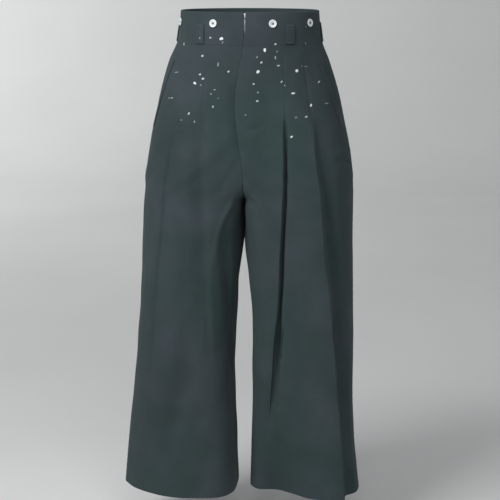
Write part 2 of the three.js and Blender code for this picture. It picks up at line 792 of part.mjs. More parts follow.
// Body of the zip's slider, at the top of the tape and behind the waistband's ends
function zipSliderGeometry() {
  const { width, height, wall } = SLIDER;
  const shape = new THREE.Shape();
  shape.moveTo(-width * 0.3, 0);
  shape.lineTo(width * 0.3, 0);
  shape.lineTo(width / 2, height * 0.45);
  shape.lineTo(width / 2, height);
  shape.lineTo(-width / 2, height);
  shape.lineTo(-width / 2, height * 0.45);
  shape.closePath();
  return new THREE.ExtrudeGeometry(shape, { depth: wall, bevelEnabled: false });
}

// Stitched edge of a slanted side pocket
function weltGeometry(leg) {
  const placesAt = (z) => {
    const level = sampledLevel(leg, z);
    const share = (z - POCKET_TOP) / (POCKET_END - POCKET_TOP);
    const forward = POCKET_FORWARD.top + (POCKET_FORWARD.end - POCKET_FORWARD.top) * share;
    const mouth = level.at.sideSeam - forward;
    return evenly(mouth - WELT_WIDTH, mouth, 2).map((d) => surfacePoint(level, d));
  };
  const heights = evenly(POCKET_TOP, POCKET_END, 10);
  return stripGeometry(heights, placesAt, () => WELT_LIFT, WELT_WALL, leg.side < 0);
}

// Length along the front of a level where it lies x from the middle of the body
function frontAt(level, x) {
  const positions = level.at.points.map((p) => level.leg.side * p.x);
  return lengthWhere(positions, level.at.length, x, "front");
}

// A closed mesh as a manifold solid, and back
function toSolid(wasm, geometry) {
  const plain = geometry.clone();
  plain.deleteAttribute("normal");
  plain.deleteAttribute("uv");
  const merged = mergeVertices(plain, 1e-4);
  return new wasm.Manifold(
    new wasm.Mesh({
      numProp: 3,
      vertProperties: new Float32Array(merged.attributes.position.array),
      triVerts: new Uint32Array(merged.index.array),
    }),
  );
}

function toGeometry(solid) {
  const mesh = solid.getMesh();
  const geometry = new THREE.BufferGeometry();
  geometry.setAttribute("position", new THREE.Float32BufferAttribute(mesh.vertProperties, 3));
  geometry.setIndex(Array.from(mesh.triVerts));
  geometry.computeVertexNormals();
  return geometry;
}

// Four-hole button, its back at z 0 and its dished face up
function buttonGeometry(wasm) {
  const profile = [
    [0, 0], [5.8, 0], [7.3, 0.9], [BUTTON_RADIUS, 1.6], [7, 2.3], [5.9, 2.3], [4.6, 1.5], [0, 1.4],
  ].map(([r, z]) => new THREE.Vector2(r, z));
  const disc = new THREE.LatheGeometry(profile, BUTTON_FACETS).rotateX(Math.PI / 2);
  let solid = toSolid(wasm, disc);
  for (let i = 0; i < 4; i++) {
    const angle = Math.PI / 4 + (i * Math.PI) / 2;
    const hole = new THREE.CylinderGeometry(BUTTON_HOLE_RADIUS, BUTTON_HOLE_RADIUS, 8, 8)
      .rotateX(Math.PI / 2)
      .translate(Math.cos(angle) * BUTTON_HOLE_OFFSET, Math.sin(angle) * BUTTON_HOLE_OFFSET, 0);
    solid = solid.subtract(toSolid(wasm, hole));
  }
  return toGeometry(solid);
}

// Stands a mesh on the surface at a point, its own +Z along the normal
function seat(mesh, place, lift) {
  const turned = new THREE.Matrix4().lookAt(place.normal, new THREE.Vector3(), new THREE.Vector3(0, 0, 1));
  mesh.quaternion.setFromRotationMatrix(turned);
  mesh.position.copy(moved(place, lift));
}

function cloth(geometry, name, colour = 0x3c484b) {
  const material = new THREE.MeshStandardMaterial({ color: colour, roughness: 0.88, metalness: 0 });
  const mesh = new THREE.Mesh(geometry, material);
  mesh.name = name;
  return mesh;
}

function metal(geometry, name) {
  const material = new THREE.MeshStandardMaterial({ color: 0xb9bcbd, roughness: 0.35, metalness: 0.9 });
  const mesh = new THREE.Mesh(geometry, material);
  mesh.name = name;
  return mesh;
}

function plastic(geometry, name) {
  const material = new THREE.MeshStandardMaterial({ color: 0xf1f3f4, roughness: 0.35, metalness: 0 });
  const mesh = new THREE.Mesh(geometry, material);
  mesh.name = name;
  return mesh;
}

function makeTrousers(wasm) {
  const trousers = new THREE.Group();
  for (const leg of Object.values(LEGS)) {
    trousers.add(cloth(panelGeometry(leg, "front"), `front_${leg.name}`));
    trousers.add(cloth(panelGeometry(leg, "back"), `back_${leg.name}`));
    trousers.add(cloth(bandGeometry(leg), `waistband_${leg.name}`));
    trousers.add(cloth(frontLoopGeometry(leg), `belt_loop_front_${leg.name}`));
    trousers.add(cloth(sideLoopGeometry(leg), `belt_loop_side_${leg.name}`));
    trousers.add(cloth(weltGeometry(leg), `pocket_edge_${leg.name}`));
    for (const [place, x] of Object.entries(BUTTON_X[leg.name])) {
      const level = sampledLevel(leg, BUTTON_HEIGHT);
      const button = plastic(buttonGeometry(wasm), `button_${place}_${leg.name}`);
      seat(button, surfacePoint(level, frontAt(level, x)), BUTTON_LIFT);
      trousers.add(button);
    }
  }
  trousers.add(cloth(backLoopGeometry(), "belt_loop_back"));
  trousers.add(cloth(zipTapeGeometry(), "zip_tape", 0x2b3335));
  const slider = metal(zipSliderGeometry(), "zip_slider");
  const [, middle] = acrossMiddle(ZIP_TOP + SEAM_GAP, true, ZIP_HALF_WIDTH);
  seat(slider, middle, -SLIDER_DEPTH - SLIDER.wall);
  trousers.add(slider);
  return trousers;
}

const wasm = await Module();
wasm.setup();

export default makeTrousers(wasm);
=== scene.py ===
import math
from functools import partial

import bpy
import numpy as np
from mathutils import Matrix, Vector
from mathutils.bvhtree import BVHTree


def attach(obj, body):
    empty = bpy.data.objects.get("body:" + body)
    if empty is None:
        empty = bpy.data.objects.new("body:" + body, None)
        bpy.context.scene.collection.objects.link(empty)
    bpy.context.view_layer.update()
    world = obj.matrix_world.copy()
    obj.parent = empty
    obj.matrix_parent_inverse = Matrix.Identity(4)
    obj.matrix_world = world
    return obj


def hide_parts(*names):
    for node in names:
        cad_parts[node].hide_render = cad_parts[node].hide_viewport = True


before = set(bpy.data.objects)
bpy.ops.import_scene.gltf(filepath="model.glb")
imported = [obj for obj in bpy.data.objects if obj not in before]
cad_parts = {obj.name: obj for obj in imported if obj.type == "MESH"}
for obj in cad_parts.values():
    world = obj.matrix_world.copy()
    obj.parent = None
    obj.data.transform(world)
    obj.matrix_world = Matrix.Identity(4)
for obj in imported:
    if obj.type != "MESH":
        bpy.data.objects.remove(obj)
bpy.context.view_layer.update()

# The cloth is worked out in millimetres and written to its meshes in metres
MM = 0.001

# Main sizes of the trousers
TOP_EDGE = 20
WAIST_SEAM = -42
HEM = -943
CLOTH = 1.6
HEM_WALL = 3.2
HEM_FOLD = HEM + 38

# Folded fly edge behind the wearer's left front, and the heights that it fades between
FLY_EDGE = {"depth": 6.5, "width": 16, "top": -96, "full": -130, "ease": -270, "end": -318}

# Waistband, and the slit where the zip parts its two halves
BAND_WALL = 3
BAND_PROUD = 0.3
BAND_SWELL = 0.5
BAND_TURN = 0.7
BAND_COLUMNS = 150
SLIT_WIDTH = 3.6
SLIT_END = -20

# The waistband's slight waves: length round and length down for each radian, and height
BAND_WAVES = [(14, 23, 0.25), (33, -17, 0.2)]
BAND_WAVE_REACH = 12

# Belt loops
LOOP_WIDTH = 18
LOOP_TOP = -3
LOOP_BOTTOM = -41
LOOP_WALL = 1.6
LOOP_STEP = 0.75
LOOP_SEAT = 0.7
LOOP_RISE = 1.1
FRONT_LOOP_X = {"left": 83, "right": 87}

# Buttons, by their distance from the middle of the body
BUTTON_HEIGHT = -2
BUTTON_LIFT = 1
BUTTON_X = {"left": {"front": 51, "side": 118}, "right": {"front": 61, "side": 130}}

# Zip tape
ZIP_TOP = 8
ZIP_END = -96
ZIP_HALF_WIDTH = 12
ZIP_DEPTH = 3
ZIP_WALL = 1
ZIP_STEP = 1

# Stitched edges of the side pockets
POCKET_TOP = -74
POCKET_END = -206
POCKET_FORWARD = {"top": 52, "end": 37}
WELT_WIDTH = 9
WELT_WALL = 1
WELT_LIFT = 0.25

# Narrow strips: their rounded edge, and the columns in it and between
STRIP_EDGE = 1
STRIP_SPANS = [3, 8, 3]
STRIP_END = 1.5
STRIP_END_STEP = 0.5

# Steps of a leg's rings, how slopes are taken from them, and a wall's least roundness
CORNER = 18
RING_STEPS = 720
LEAST_OPENING = 1e-9
SLOPE_STEP = 1.5
SLOPE_REACH = 2
FOLD_SPREAD = 0.4
LEAST_ROUND = 0.2

# A seam is a soft groove where two panels are sewn together, with small puckers beside it
SEAM_GROOVE = 0.5
SEAM_REACH = 2.4
TUCK_SHARE = 0.4
TUCK_START = 1
PUCKER_HEIGHT = 0.22
PUCKER_LENGTH = 13
PUCKER_REACH = 9
PUCKER_DRIFT = 2.2
DRIFT_LENGTH = 37
CREASE_TAPER = 0.3
UNEVEN_REACH = 26


# A table of named columns, its rows given from the top down
class Table:
    def __init__(self, columns, rows):
        self.columns = columns.split()
        self.values = np.array(rows, dtype=float)
        self.heights = self.values[:, 0]

    def at(self, z):
        return dict(zip(self.columns, self.row_at(z)))

    def row_at(self, z):
        values, heights = self.values, self.heights
        last = len(heights) - 1
        if z >= heights[0]:
            return values[0]
        if z <= heights[last]:
            return values[last]
        below = int(np.searchsorted(-heights, -z, side="left"))
        above = below - 1
        before = max(above - 1, 0)
        after = min(below + 1, last)
        span = heights[below] - heights[above]
        t = (z - heights[above]) / span
        slope_above = (values[below] - values[before]) / (heights[below] - heights[before])
        slope_below = (values[after] - values[above]) / (heights[after] - heights[above])
        start = (1 + 2 * t) * (1 - t) ** 2 * values[above] + t * (1 - t) ** 2 * span * slope_above
        end = t * t * (3 - 2 * t) * values[below] + t * t * (t - 1) * span * slope_below
        return start + end


# Levels of the worn shape: each leg's oval from inner to out and from -front to back
LEVELS = Table("z out_right out_left inner crest front back middle", [
    (20, 134, 134, -134, 0, 102, 98, 0),
    (-10, 136, 136, -136, 0, 104, 100, 0),
    (-42, 142, 141, -141, 0, 107, 105, 0),
    (-78, 158, 155, -152, 3, 112, 115, 0),
    (-136, 174, 173, -158, 12, 118, 129, 0),
    (-195, 188, 186, -142, 27, 122, 137, 0),
    (-255, 199, 198, -96, 46, 125, 138, 0),
    (-300, 205.5, 203, -44, 61, 126, 136, 0),
    (-324, 207.5, 204, -13, 69, 126, 134, 0),
    (-336, 208.5, 204.5, 0.25, 73, 126, 133, 0),
    (-352, 209.5, 204.5, 1.6, 78, 126, 132, 0),
    (-430, 213, 204.5, 4, 94, 124, 127, -1),
    (-496, 216, 206, 11.5, 103, 121, 122, -2),
    (-558, 220, 207, 16.5, 109, 118, 118, -3),
    (-650, 227, 208.5, 19.5, 115, 114, 113, -4),
    (-745, 237, 208.5, 19, 119, 111, 110, -5),
    (-840, 248, 213, 16.5, 121, 108, 107, -6),
    (-900, 254, 219, 14.5, 122, 106, 106, -6),
    (-943, 258, 224, 13, 122, 105, 105, -6),
])

# Squareness of the ovals' quarters, 2 for an ellipse: each leg's outer and inner ones
SQUARENESS = Table("z outer_right outer_left inner_right inner_left", [
    (20, 2.1, 2.1, 2.1, 2.1),
    (-78, 2.15, 2.15, 2.3, 2.3),
    (-195, 2.3, 2.3, 3, 3),
    (-300, 2.4, 2.4, 4.3, 4.4),
    (-336, 2.4, 2.4, 4.4, 4.6),
    (-372, 2.36, 2.36, 3.9, 4.3),
    (-430, 2.3, 2.3, 3.3, 3.7),
    (-558, 2.2, 2.22, 3.1, 3),
    (-745, 2, 2.15, 3.2, 2.4),
    (-943, 1.5, 2.1, 3.4, 1.45),
])

# Course of the line between the two halves, dragged to one side by the fly
MIDDLE_LINE = Table("z front back", [
    (20, -1.3, 0),
    (-15, -1.4, 0),
    (-50, -5, 0),
    (-97, -13, 0),
    (-144, -18, -0.5),
    (-191, -16, -1),
    (-239, -9, -2),
    (-273, -4, -2.5),
    (-316, -3, -3),
    (-336, -4.5, -4.5),
    (-354, -7, -7),
    (-435, -9.5, -9.5),
    (-560, -11, -11),
    (-745, -12.5, -12.5),
    (-943, -12, -12),
])


# A fold: its widths towards the middle and towards the side, how sharp its crest is, and its
# course of height, distance from the middle of the body and rise of the crest
def fold(inward, outward, sharp, course, at_seam=False):
    return {
        "inward": inward,
        "outward": outward,
        "sharp": sharp,
        "course": Table("z x rise", course),
        "at_seam": at_seam,
    }


LEFT_FRONT = {
    "inner_pleat": fold(6, 6, 1.5, [
        (-42, 70, 0), (-172, 77, 0), (-198, 78, -6), (-225, 79, -11), (-314, 79, -18),
        (-430, 74, -21), (-529, 70, -20), (-640, 60, -15), (-730, 50, -7), (-800, 40, 0),
    ]),
    "centre_hollow": fold(40, 40, 2, [
        (-50, 40, 0), (-110, 40, -3), (-200, 40, -4), (-290, 38, -3), (-330, 36, 0),
    ]),
    "inner_hollow": fold(70, 130, 2, [
        (-500, 75, 0), (-650, 62, -6), (-770, 56, -14), (-860, 58, -25), (-943, 60, -38),
    ]),
    "outer_pleat": fold(70, 9, 1.2, [
        (-42, 106, 0), (-165, 124, 0), (-196, 128, 3), (-237, 132, 7), (-332, 144, 13),
        (-449, 152, 17), (-527, 161, 19), (-646, 170, 21), (-728, 175, 22), (-809, 181, 22),
        (-890, 187, 22), (-943, 191, 21),
    ]),
    "outer_hollow": fold(14, 36, 1.5, [
        (-185, 136, 0), (-240, 143, -5), (-332, 155, -11), (-527, 173, -14), (-728, 187, -13),
        (-860, 197, -10), (-943, 203, -7),
    ]),
    "crotch_drag": fold(12, 14, 2, [(-322, 16, 0), (-344, 30, 3), (-372, 48, 3), (-410, 62, 0)]),
}
LEFT_BACK = {
    "seat_drag": fold(18, 20, 2, [(-322, 26, 0), (-352, 58, -4), (-388, 94, -5), (-430, 130, 0)]),
    "back_roll": fold(36, 30, 2, [
        (-42, 78, 0), (-160, 100, 0), (-260, 110, 1), (-420, 108, 6), (-640, 104, 9), (-943, 96, 12),
    ]),
    "back_hollow": fold(24, 24, 1.8, [
        (-42, 112, 0), (-160, 138, 0), (-360, 158, -1), (-520, 160, -7), (-740, 166, -9),
        (-943, 172, -11),
    ]),
    "inner_hollow": fold(22, 24, 1.8, [(-430, 46, 0), (-600, 50, -8), (-780, 52, -6), (-900, 52, 0)]),
}
RIGHT_FRONT = {
    "centre_roll": fold(1, 22, 1.3, [
        (-96, 0, 0), (-125, 0, -4), (-160, 0, -6), (-200, 0, -6), (-245, 0, -4.5),
        (-285, 0, -2), (-316, 0, 0),
    ], at_seam=True),
    "inner_pleat": fold(14, 30, 1.8, [
        (-42, 72, 0), (-160, 80, 0), (-196, 81, -4), (-240, 82, -6), (-335, 80, -7),
        (-452, 78, -6), (-560, 76, -4), (-680, 70, 0),
    ]),
    "outer_pleat": fold(46, 14, 1.4, [
        (-42, 112, 0), (-160, 136, 0), (-226, 141, -4), (-305, 153, -6), (-371, 158, -7),
        (-456, 168, -7), (-560, 178, -5), (-680, 188, -2), (-780, 196, 0),
    ]),
    "slant_hollow": fold(30, 34, 2, [
        (-470, 96, 0), (-600, 108, -4), (-740, 130, -6), (-850, 156, -4), (-920, 172, 0),
    ]),
    "thigh_hollow": fold(22, 24, 2, [
        (-350, 34, 0), (-420, 36, -5), (-560, 35, -6), (-680, 34, -3), (-780, 32, 0),
    ]),
    "crotch_drag": fold(11, 12, 1.8, [
        (-320, 14, 0), (-345, 26, 4), (-380, 42, 5), (-425, 54, 3), (-480, 60, 0),
    ]),
}
RIGHT_BACK = {
    "seat_drag": fold(18, 20, 2, [(-322, 24, 0), (-346, 52, -4), (-378, 88, -5), (-424, 122, 0)]),
    "back_roll": fold(34, 34, 2, [
        (-42, 80, 0), (-160, 102, 0), (-290, 114, 1), (-450, 116, 7), (-680, 122, 9), (-943, 130, 10),
    ]),
    "back_hollow": fold(24, 26, 1.8, [
        (-42, 114, 0), (-160, 140, 0), (-340, 162, -1), (-500, 170, -7), (-720, 182, -8),
        (-943, 196, -12),
    ]),
    "inner_hollow": fold(24, 26, 1.8, [(-420, 54, 0), (-620, 60, -9), (-800, 64, -7), (-943, 66, -4)]),
}

LEGS = {
    "left": {"name": "left", "side": 1, "front": LEFT_FRONT, "back": LEFT_BACK},
    "right": {"name": "right", "side": -1, "front": RIGHT_FRONT, "back": RIGHT_BACK},
}

# Columns of a panel lie between guides, each a fold and a distance from its crest. The
# numbers are the columns in each span, from seam to seam.
COLUMNS = {
    ("left", "front"): (
        [
            ("corner", 0), ("inner_pleat", -7), ("inner_pleat", -3), ("inner_pleat", 0),
            ("inner_pleat", 3), ("inner_pleat", 7), ("outer_pleat", -4), ("outer_pleat", 0),
            ("outer_pleat", 6), ("outer_pleat", 14),
        ],
        [20, 16, 4, 4, 4, 4, 16, 4, 5, 5, 16],
    ),
    ("right", "front"): (
        [
            ("corner", 0), ("inner_pleat", -9), ("inner_pleat", 0), ("inner_pleat", 5),
            ("inner_pleat", 11), ("outer_pleat", -8), ("outer_pleat", 0), ("outer_pleat", 5),
            ("outer_pleat", 10),
        ],
        [20, 15, 7, 5, 5, 14, 6, 5, 4, 18],
    ),
    ("left", "back"): ([("back_hollow", 0), ("back_roll", 0), ("corner", 0)], [24, 20, 30, 22]),
    ("right", "back"): ([("back_hollow", 0), ("back_roll", 0), ("corner", 0)], [24, 20, 30, 22]),
}

# Small creases that only the cloth's surface shows: half width, depth, and the course
# over the panel as distance from the middle of the body towards its own side, and height
SOFT_CREASES = {
    ("left", "front"): [
        (5, -0.9, [(70, -46), (74, -110), (78, -176), (79, -215)]),
        (5, -0.6, [(104, -46), (118, -120), (126, -176), (132, -235)]),
        (7, -1.6, [(0, -196), (8, -199), (24, -197), (38, -189)]),
        (12, 1.1, [(2, -212), (14, -214), (30, -210)]),
        (7, -2.6, [(168, -262), (184, -264), (202, -272)]),
        (12, 1.6, [(172, -248), (186, -250), (200, -256)]),
        (18, -5, [(70, -540), (60, -640), (50, -740), (36, -860)]),
        (16, -1.5, [(10, -300), (34, -326), (66, -344)]),
        (20, -1.8, [(150, -560), (172, -600), (200, -622)]),
        (24, -1.6, [(28, -700), (56, -742), (92, -770)]),
    ],
    ("right", "front"): [
        (5, -0.8, [(72, -46), (76, -110), (80, -160), (81, -205)]),
        (5, -0.6, [(112, -46), (126, -110), (136, -165), (140, -220)]),
        (12, -1.4, [(6, -250), (26, -282), (52, -322)]),
        (16, -1.7, [(20, -352), (44, -392), (60, -440)]),
        (22, -1.8, [(60, -620), (96, -690), (146, -760)]),
        (20, 1.5, [(70, -700), (110, -780), (150, -850)]),
        (14, -1.2, [(176, -250), (188, -290), (198, -330)]),
    ],
    ("left", "back"): [
        (26, -2.2, [(14, -300), (60, -352), (120, -400)]),
        (24, -1.8, [(20, -350), (70, -420), (130, -470)]),
        (30, -1.6, [(40, -560), (90, -600), (150, -620)]),
    ],
    ("right", "back"): [
        (26, -2.2, [(12, -302), (56, -350), (112, -396)]),
        (24, -1.8, [(18, -352), (66, -416), (124, -462)]),
        (30, -1.6, [(36, -580), (88, -616), (150, -640)]),
    ],
}

# The cloth's slight unevenness: waves as length round, length down, turn and height
UNEVEN = [
    (171, 223, 0.4, 0.55),
    (97, 310, 1.9, 0.45),
    (61, 187, 3.3, 0.3),
    (233, 89, 5.1, 0.35),
    (43, 131, 2.6, 0.16),
]


# 0 up to low, 1 from high on, and a soft rise between them
def smooth_step(low, high, value):
    t = np.clip((value - low) / (high - low), 0, 1)
    return t * t * (3 - 2 * t)


# Place on the ring where a column of values first reaches x, on its front or back
def length_where(values, length, x, face):
    half = RING_STEPS // 2
    order = np.arange(half + 1) if face == "front" else RING_STEPS - np.arange(half + 1)
    reached = values[order[1:]] >= x
    if not reached.any():
        return length[half]
    step = int(np.argmax(reached)) + 1
    here, previous = order[step], order[step - 1]
    share = np.clip((x - values[previous]) / (values[here] - values[previous]), 0, 1)
    return length[previous] + (length[here] - length[previous]) * share


# Share of a fold's rise at a distance round the leg from its crest
def fold_profile(course_fold, distance, is_front):
    towards_side = distance > 0 if is_front else distance < 0
    width = np.where(towards_side, course_fold["outward"], course_fold["inward"])
    reach = np.minimum(np.abs(distance) / width, 1)
    return (1 - reach ** course_fold["sharp"]) ** 2


# Where a leg's ring starts and ends. Above the crotch it is open at the middle line.
def ring_ends(opening, square, angle, length):
    if opening >= 1:
        return 0.0, length[-1]
    turn = math.pi / 2
    if abs(opening) > LEAST_OPENING:
        turn = math.atan((abs(opening) ** -square - 1) ** (1 / square))
        turn = turn if opening > 0 else math.pi - turn
    return np.interp(turn, angle, length), np.interp(2 * math.pi - turn, angle, length)


# One level of a leg: its ring with the folds laid on it, from its innermost point
# round the front, the side and the back
def level_of(leg, z):
    name, side = leg["name"], leg["side"]
    at = LEVELS.at(z)
    square = SQUARENESS.at(z)
    middle_line = MIDDLE_LINE.at(z)
    out, inner, crest = at["out_" + name], at["inner"], at["crest"]
    angle = np.linspace(0, 2 * math.pi, RING_STEPS + 1)
    across, along = np.cos(angle), np.sin(angle)
    power = np.where(across > 0, square["inner_" + name], square["outer_" + name])
    radius = (np.abs(across) ** power + np.abs(along) ** power) ** (-1 / power)
    reaches = crest - np.where(across > 0, crest - inner, out - crest) * across * radius
    depth = np.where(along > 0, at["front"] + at["middle"], at["back"] - at["middle"])
    shift = np.where(along > 0, middle_line["front"], middle_line["back"])
    x = side * reaches + shift * (1 - (reaches / out) ** 2)
    y = at["middle"] - depth * along * radius
    length = np.concatenate([[0], np.cumsum(np.hypot(np.diff(x), np.diff(y)))])
    start, end = ring_ends(crest / (crest - inner), square["inner_" + name], angle, length)

    half = RING_STEPS // 2
    rise = np.zeros(RING_STEPS + 1)
    crests = {"front": {}, "back": {}}
    for face in ("front", "back"):
        part = slice(0, half + 1) if face == "front" else slice(half, None)
        crests[face]["corner"] = length_where(reaches, length, max(inner, 0) + CORNER, face)
        for fold_name, course_fold in leg[face].items():
            _, fold_x, fold_rise = course_fold["course"].row_at(z)
            place = start if course_fold["at_seam"] else length_where(side * x, length, fold_x, face)
            crests[face][fold_name] = place
            rise[part] += fold_rise * fold_profile(course_fold, length[part] - place, face == "front")

    before = np.concatenate([[RING_STEPS - 1], np.arange(RING_STEPS)])
    after = np.concatenate([np.arange(1, RING_STEPS + 1), [1]])
    out_x = (y[after] - y[before]) * side * FOLD_SPREAD
    out_y = (x[before] - x[after]) * side
    size = np.hypot(out_x, out_y)
    points = np.stack([x + rise * out_x / size, y + rise * out_y / size, np.full_like(x, z)], axis=1)
    return {
        "points": points, "length": length, "start": start, "end": end,
        "side_seam": length[half], "crests": crests,
    }


def at_index(level, index):
    index = np.clip(index, 0, RING_STEPS)
    low = np.minimum(index.astype(int), RING_STEPS - 1)
    share = (index - low)[:, None]
    points = level["points"]
    return points[low] * (1 - share) + points[low + 1] * share


def normalised(vectors):
    return vectors / np.linalg.norm(vectors, axis=-1, keepdims=True)


# The cloth's outer face at one height: points at these distances along the ring, and
# their outward normals
def surface_row(leg, z, distances_of):
    level = level_of(leg, z)
    distances = distances_of(level)
    index = np.interp(distances, level["length"], np.arange(RING_STEPS + 1))
    along = at_index(level, index + SLOPE_REACH) - at_index(level, index - SLOPE_REACH)
    above, below = level_of(leg, z + SLOPE_STEP), level_of(leg, z - SLOPE_STEP)
    down = at_index(below, index) - at_index(above, index)
    return distances, at_index(level, index), normalised(np.cross(down, along) * leg["side"])


# Places from the first mark to the last, each span cut into its number of steps
def spread(marks, spans):
    places = [np.linspace(low, high, count, endpoint=False)
              for low, high, count in zip(marks[:-1], marks[1:], spans)]
    return np.concatenate(places + [[marks[-1]]])


# Grid of a piece over these heights: its points, its normals and the distances round
def surface_grid(leg, heights, distances_of):
    rows = [surface_row(leg, z, lambda level, z=z: distances_of(level, z)) for z in heights]
    distances, points, normals = (np.array([row[i] for row in rows]) for i in range(3))
    return points, normals, distances


# Heights from the first mark to the last. A mark is a height and the step below it.
def heights_between(marks):
    pieces = [np.linspace(top, end, max(1, round((top - end) / step)), endpoint=False)
              for (top, step), (end, _) in zip(marks[:-1], marks[1:])]
    return np.concatenate(pieces + [[marks[-1][0]]])


# Makes one object from vertices in millimetres, with a map in metres for the weave
def make_object(name, vertices, faces, material, weave_map=None, smooth=True):
    mesh = bpy.data.meshes.new(name)
    mesh.from_pydata((np.asarray(vertices) * MM).tolist(), [], [list(f) for f in faces])
    mesh.polygons.foreach_set("use_smooth", [smooth] * len(mesh.polygons))
    if weave_map is not None:
        corners = np.empty(len(mesh.loops), dtype=int)
        mesh.loops.foreach_get("vertex_index", corners)
        layer = mesh.uv_layers.new(name="weave")
        layer.data.foreach_set("uv", (weave_map[corners] * MM).ravel())
    mesh.materials.append(material)
    mesh.update()
    made = bpy.data.objects.new(name, mesh)
    bpy.context.scene.collection.objects.link(made)
    return made


# Closed wall behind a grid of its outer face. edge is how far each point is from a
# free edge, where the wall is rounded off.
def wall_object(name, face, normals, wall, edge, weave_map, material):
    rows, columns = face.shape[:2]
    wall = np.broadcast_to(wall, (rows, columns))
    half = wall / 2
    roundness = np.sqrt(1 - (1 - np.clip(edge / half, 0, 1)) ** 2)
    swell = (half * np.maximum(roundness, LEAST_ROUND))[..., None]
    middle = face - normals * half[..., None]
    vertices = np.concatenate([(middle + normals * swell).reshape(-1, 3),
                               (middle - normals * swell).reshape(-1, 3)])
    ids = np.arange(rows * columns).reshape(rows, columns)
    inside = ids + rows * columns
    quads = [
        np.stack([ids[:-1, :-1], ids[1:, :-1], ids[1:, 1:], ids[:-1, 1:]], axis=-1),
        np.stack([inside[:-1, :-1], inside[:-1, 1:], inside[1:, 1:], inside[1:, :-1]], axis=-1),
        np.stack([ids[:-1, 0], inside[:-1, 0], inside[1:, 0], ids[1:, 0]], axis=-1),
        np.stack([ids[:-1, -1], ids[1:, -1], inside[1:, -1], inside[:-1, -1]], axis=-1),
        np.stack([ids[0, :-1], ids[0, 1:], inside[0, 1:], inside[0, :-1]], axis=-1),
        np.stack([ids[-1, :-1], inside[-1, :-1], inside[-1, 1:], ids[-1, 1:]], axis=-1),
    ]
    faces = np.concatenate([q.reshape(-1, 4) for q in quads])
    a, b, c, d = (vertices[faces[:, i]] for i in range(4))
    volume = np.einsum("ij,ij->", a, np.cross(b, c)) + np.einsum("ij,ij->", a, np.cross(c, d))
    if volume < 0:
        faces = faces[:, ::-1]
    both = np.concatenate([weave_map.reshape(-1, 2)] * 2)
    return make_object(name, vertices, faces, material, both)


# Distance of points from a course, and how far along it they are from 0 to 1
def along_course(x, z, course):
    course = np.array(course, dtype=float)
    steps = np.hypot(*np.diff(course, axis=0).T)
    gone = np.concatenate([[0], np.cumsum(steps)]) / steps.sum()
    nearest = np.full(x.shape, np.inf)
    share = np.zeros(x.shape)
    for i, (start, end) in enumerate(zip(course[:-1], course[1:])):
        line = end - start
        t = np.clip(((x - start[0]) * line[0] + (z - start[1]) * line[1]) / (line @ line), 0, 1)
        distance = np.hypot(x - start[0] - t * line[0], z - start[1] - t * line[1])
        closer = distance < nearest
        nearest = np.where(closer, distance, nearest)
        share = np.where(closer, gone[i] + (gone[i + 1] - gone[i]) * t, share)
    return nearest, share


# How far a panel's surface is moved by its small creases, unevenness and seams
def surface_relief(leg, face, points, distances):
    x, z = leg["side"] * points[..., 0], points[..., 2]
    relief = np.zeros(x.shape)
    for half_width, depth, course in SOFT_CREASES[(leg["name"], face)]:
        away, share = along_course(x, z, course)
        reach = np.clip(away / half_width, 0, 1)
        taper = smooth_step(0, CREASE_TAPER, share) * smooth_step(1, 1 - CREASE_TAPER, share)
        relief += depth * (1 - reach**2) ** 2 * taper
    from_side = np.minimum(distances - distances[:, :1], distances[:, -1:] - distances)
    from_waist = PANEL_TOP - z + TUCK_START
    inside = smooth_step(0, UNEVEN_REACH, np.minimum(from_side, from_waist))
    for round_length, down_length, turn, height in UNEVEN:
        phase = distances / round_length + z / down_length
        relief += height * np.sin(2 * math.pi * phase + turn) * inside
    pucker = np.sin(2 * math.pi * z / PUCKER_LENGTH + PUCKER_DRIFT * np.sin(z / DRIFT_LENGTH))
    relief += PUCKER_HEIGHT * pucker * np.exp(-((from_side / PUCKER_REACH) ** 2))
    sewn = 1 - smooth_step(0, SEAM_REACH, from_side)
    tucked = TUCK_SHARE * (1 - smooth_step(0, SEAM_REACH, from_waist))
    return relief - SEAM_GROOVE * np.maximum(sewn, tucked)


# Extra wall of the folded fly edge, beside the centre front and between its own heights
def fly_edge(from_middle, z):
    beside = 1 - smooth_step(0, FLY_EDGE["width"], from_middle)
    below_top = smooth_step(FLY_EDGE["top"], FLY_EDGE["full"], z)
    above_end = smooth_step(FLY_EDGE["end"], FLY_EDGE["ease"], z)
    return FLY_EDGE["depth"] * beside * below_top * above_end


# Heights of a panel's rows with the step below each, and columns near its side edges
PANEL_TOP = WAIST_SEAM + 0.8
PANEL_HEIGHTS = heights_between([
    (PANEL_TOP, 0.9), (-47, 4), (-300, 2.6), (-322, 1.5), (-348, 3), (-400, 4.6),
    (HEM_FOLD + 6, 2), (HEM_FOLD - 2, 4), (HEM + 5, 0.8), (HEM, 1),
])
HEM_STEP = 3
SEAM_MARKS = [0.9, 1.8, 2.7, 5]


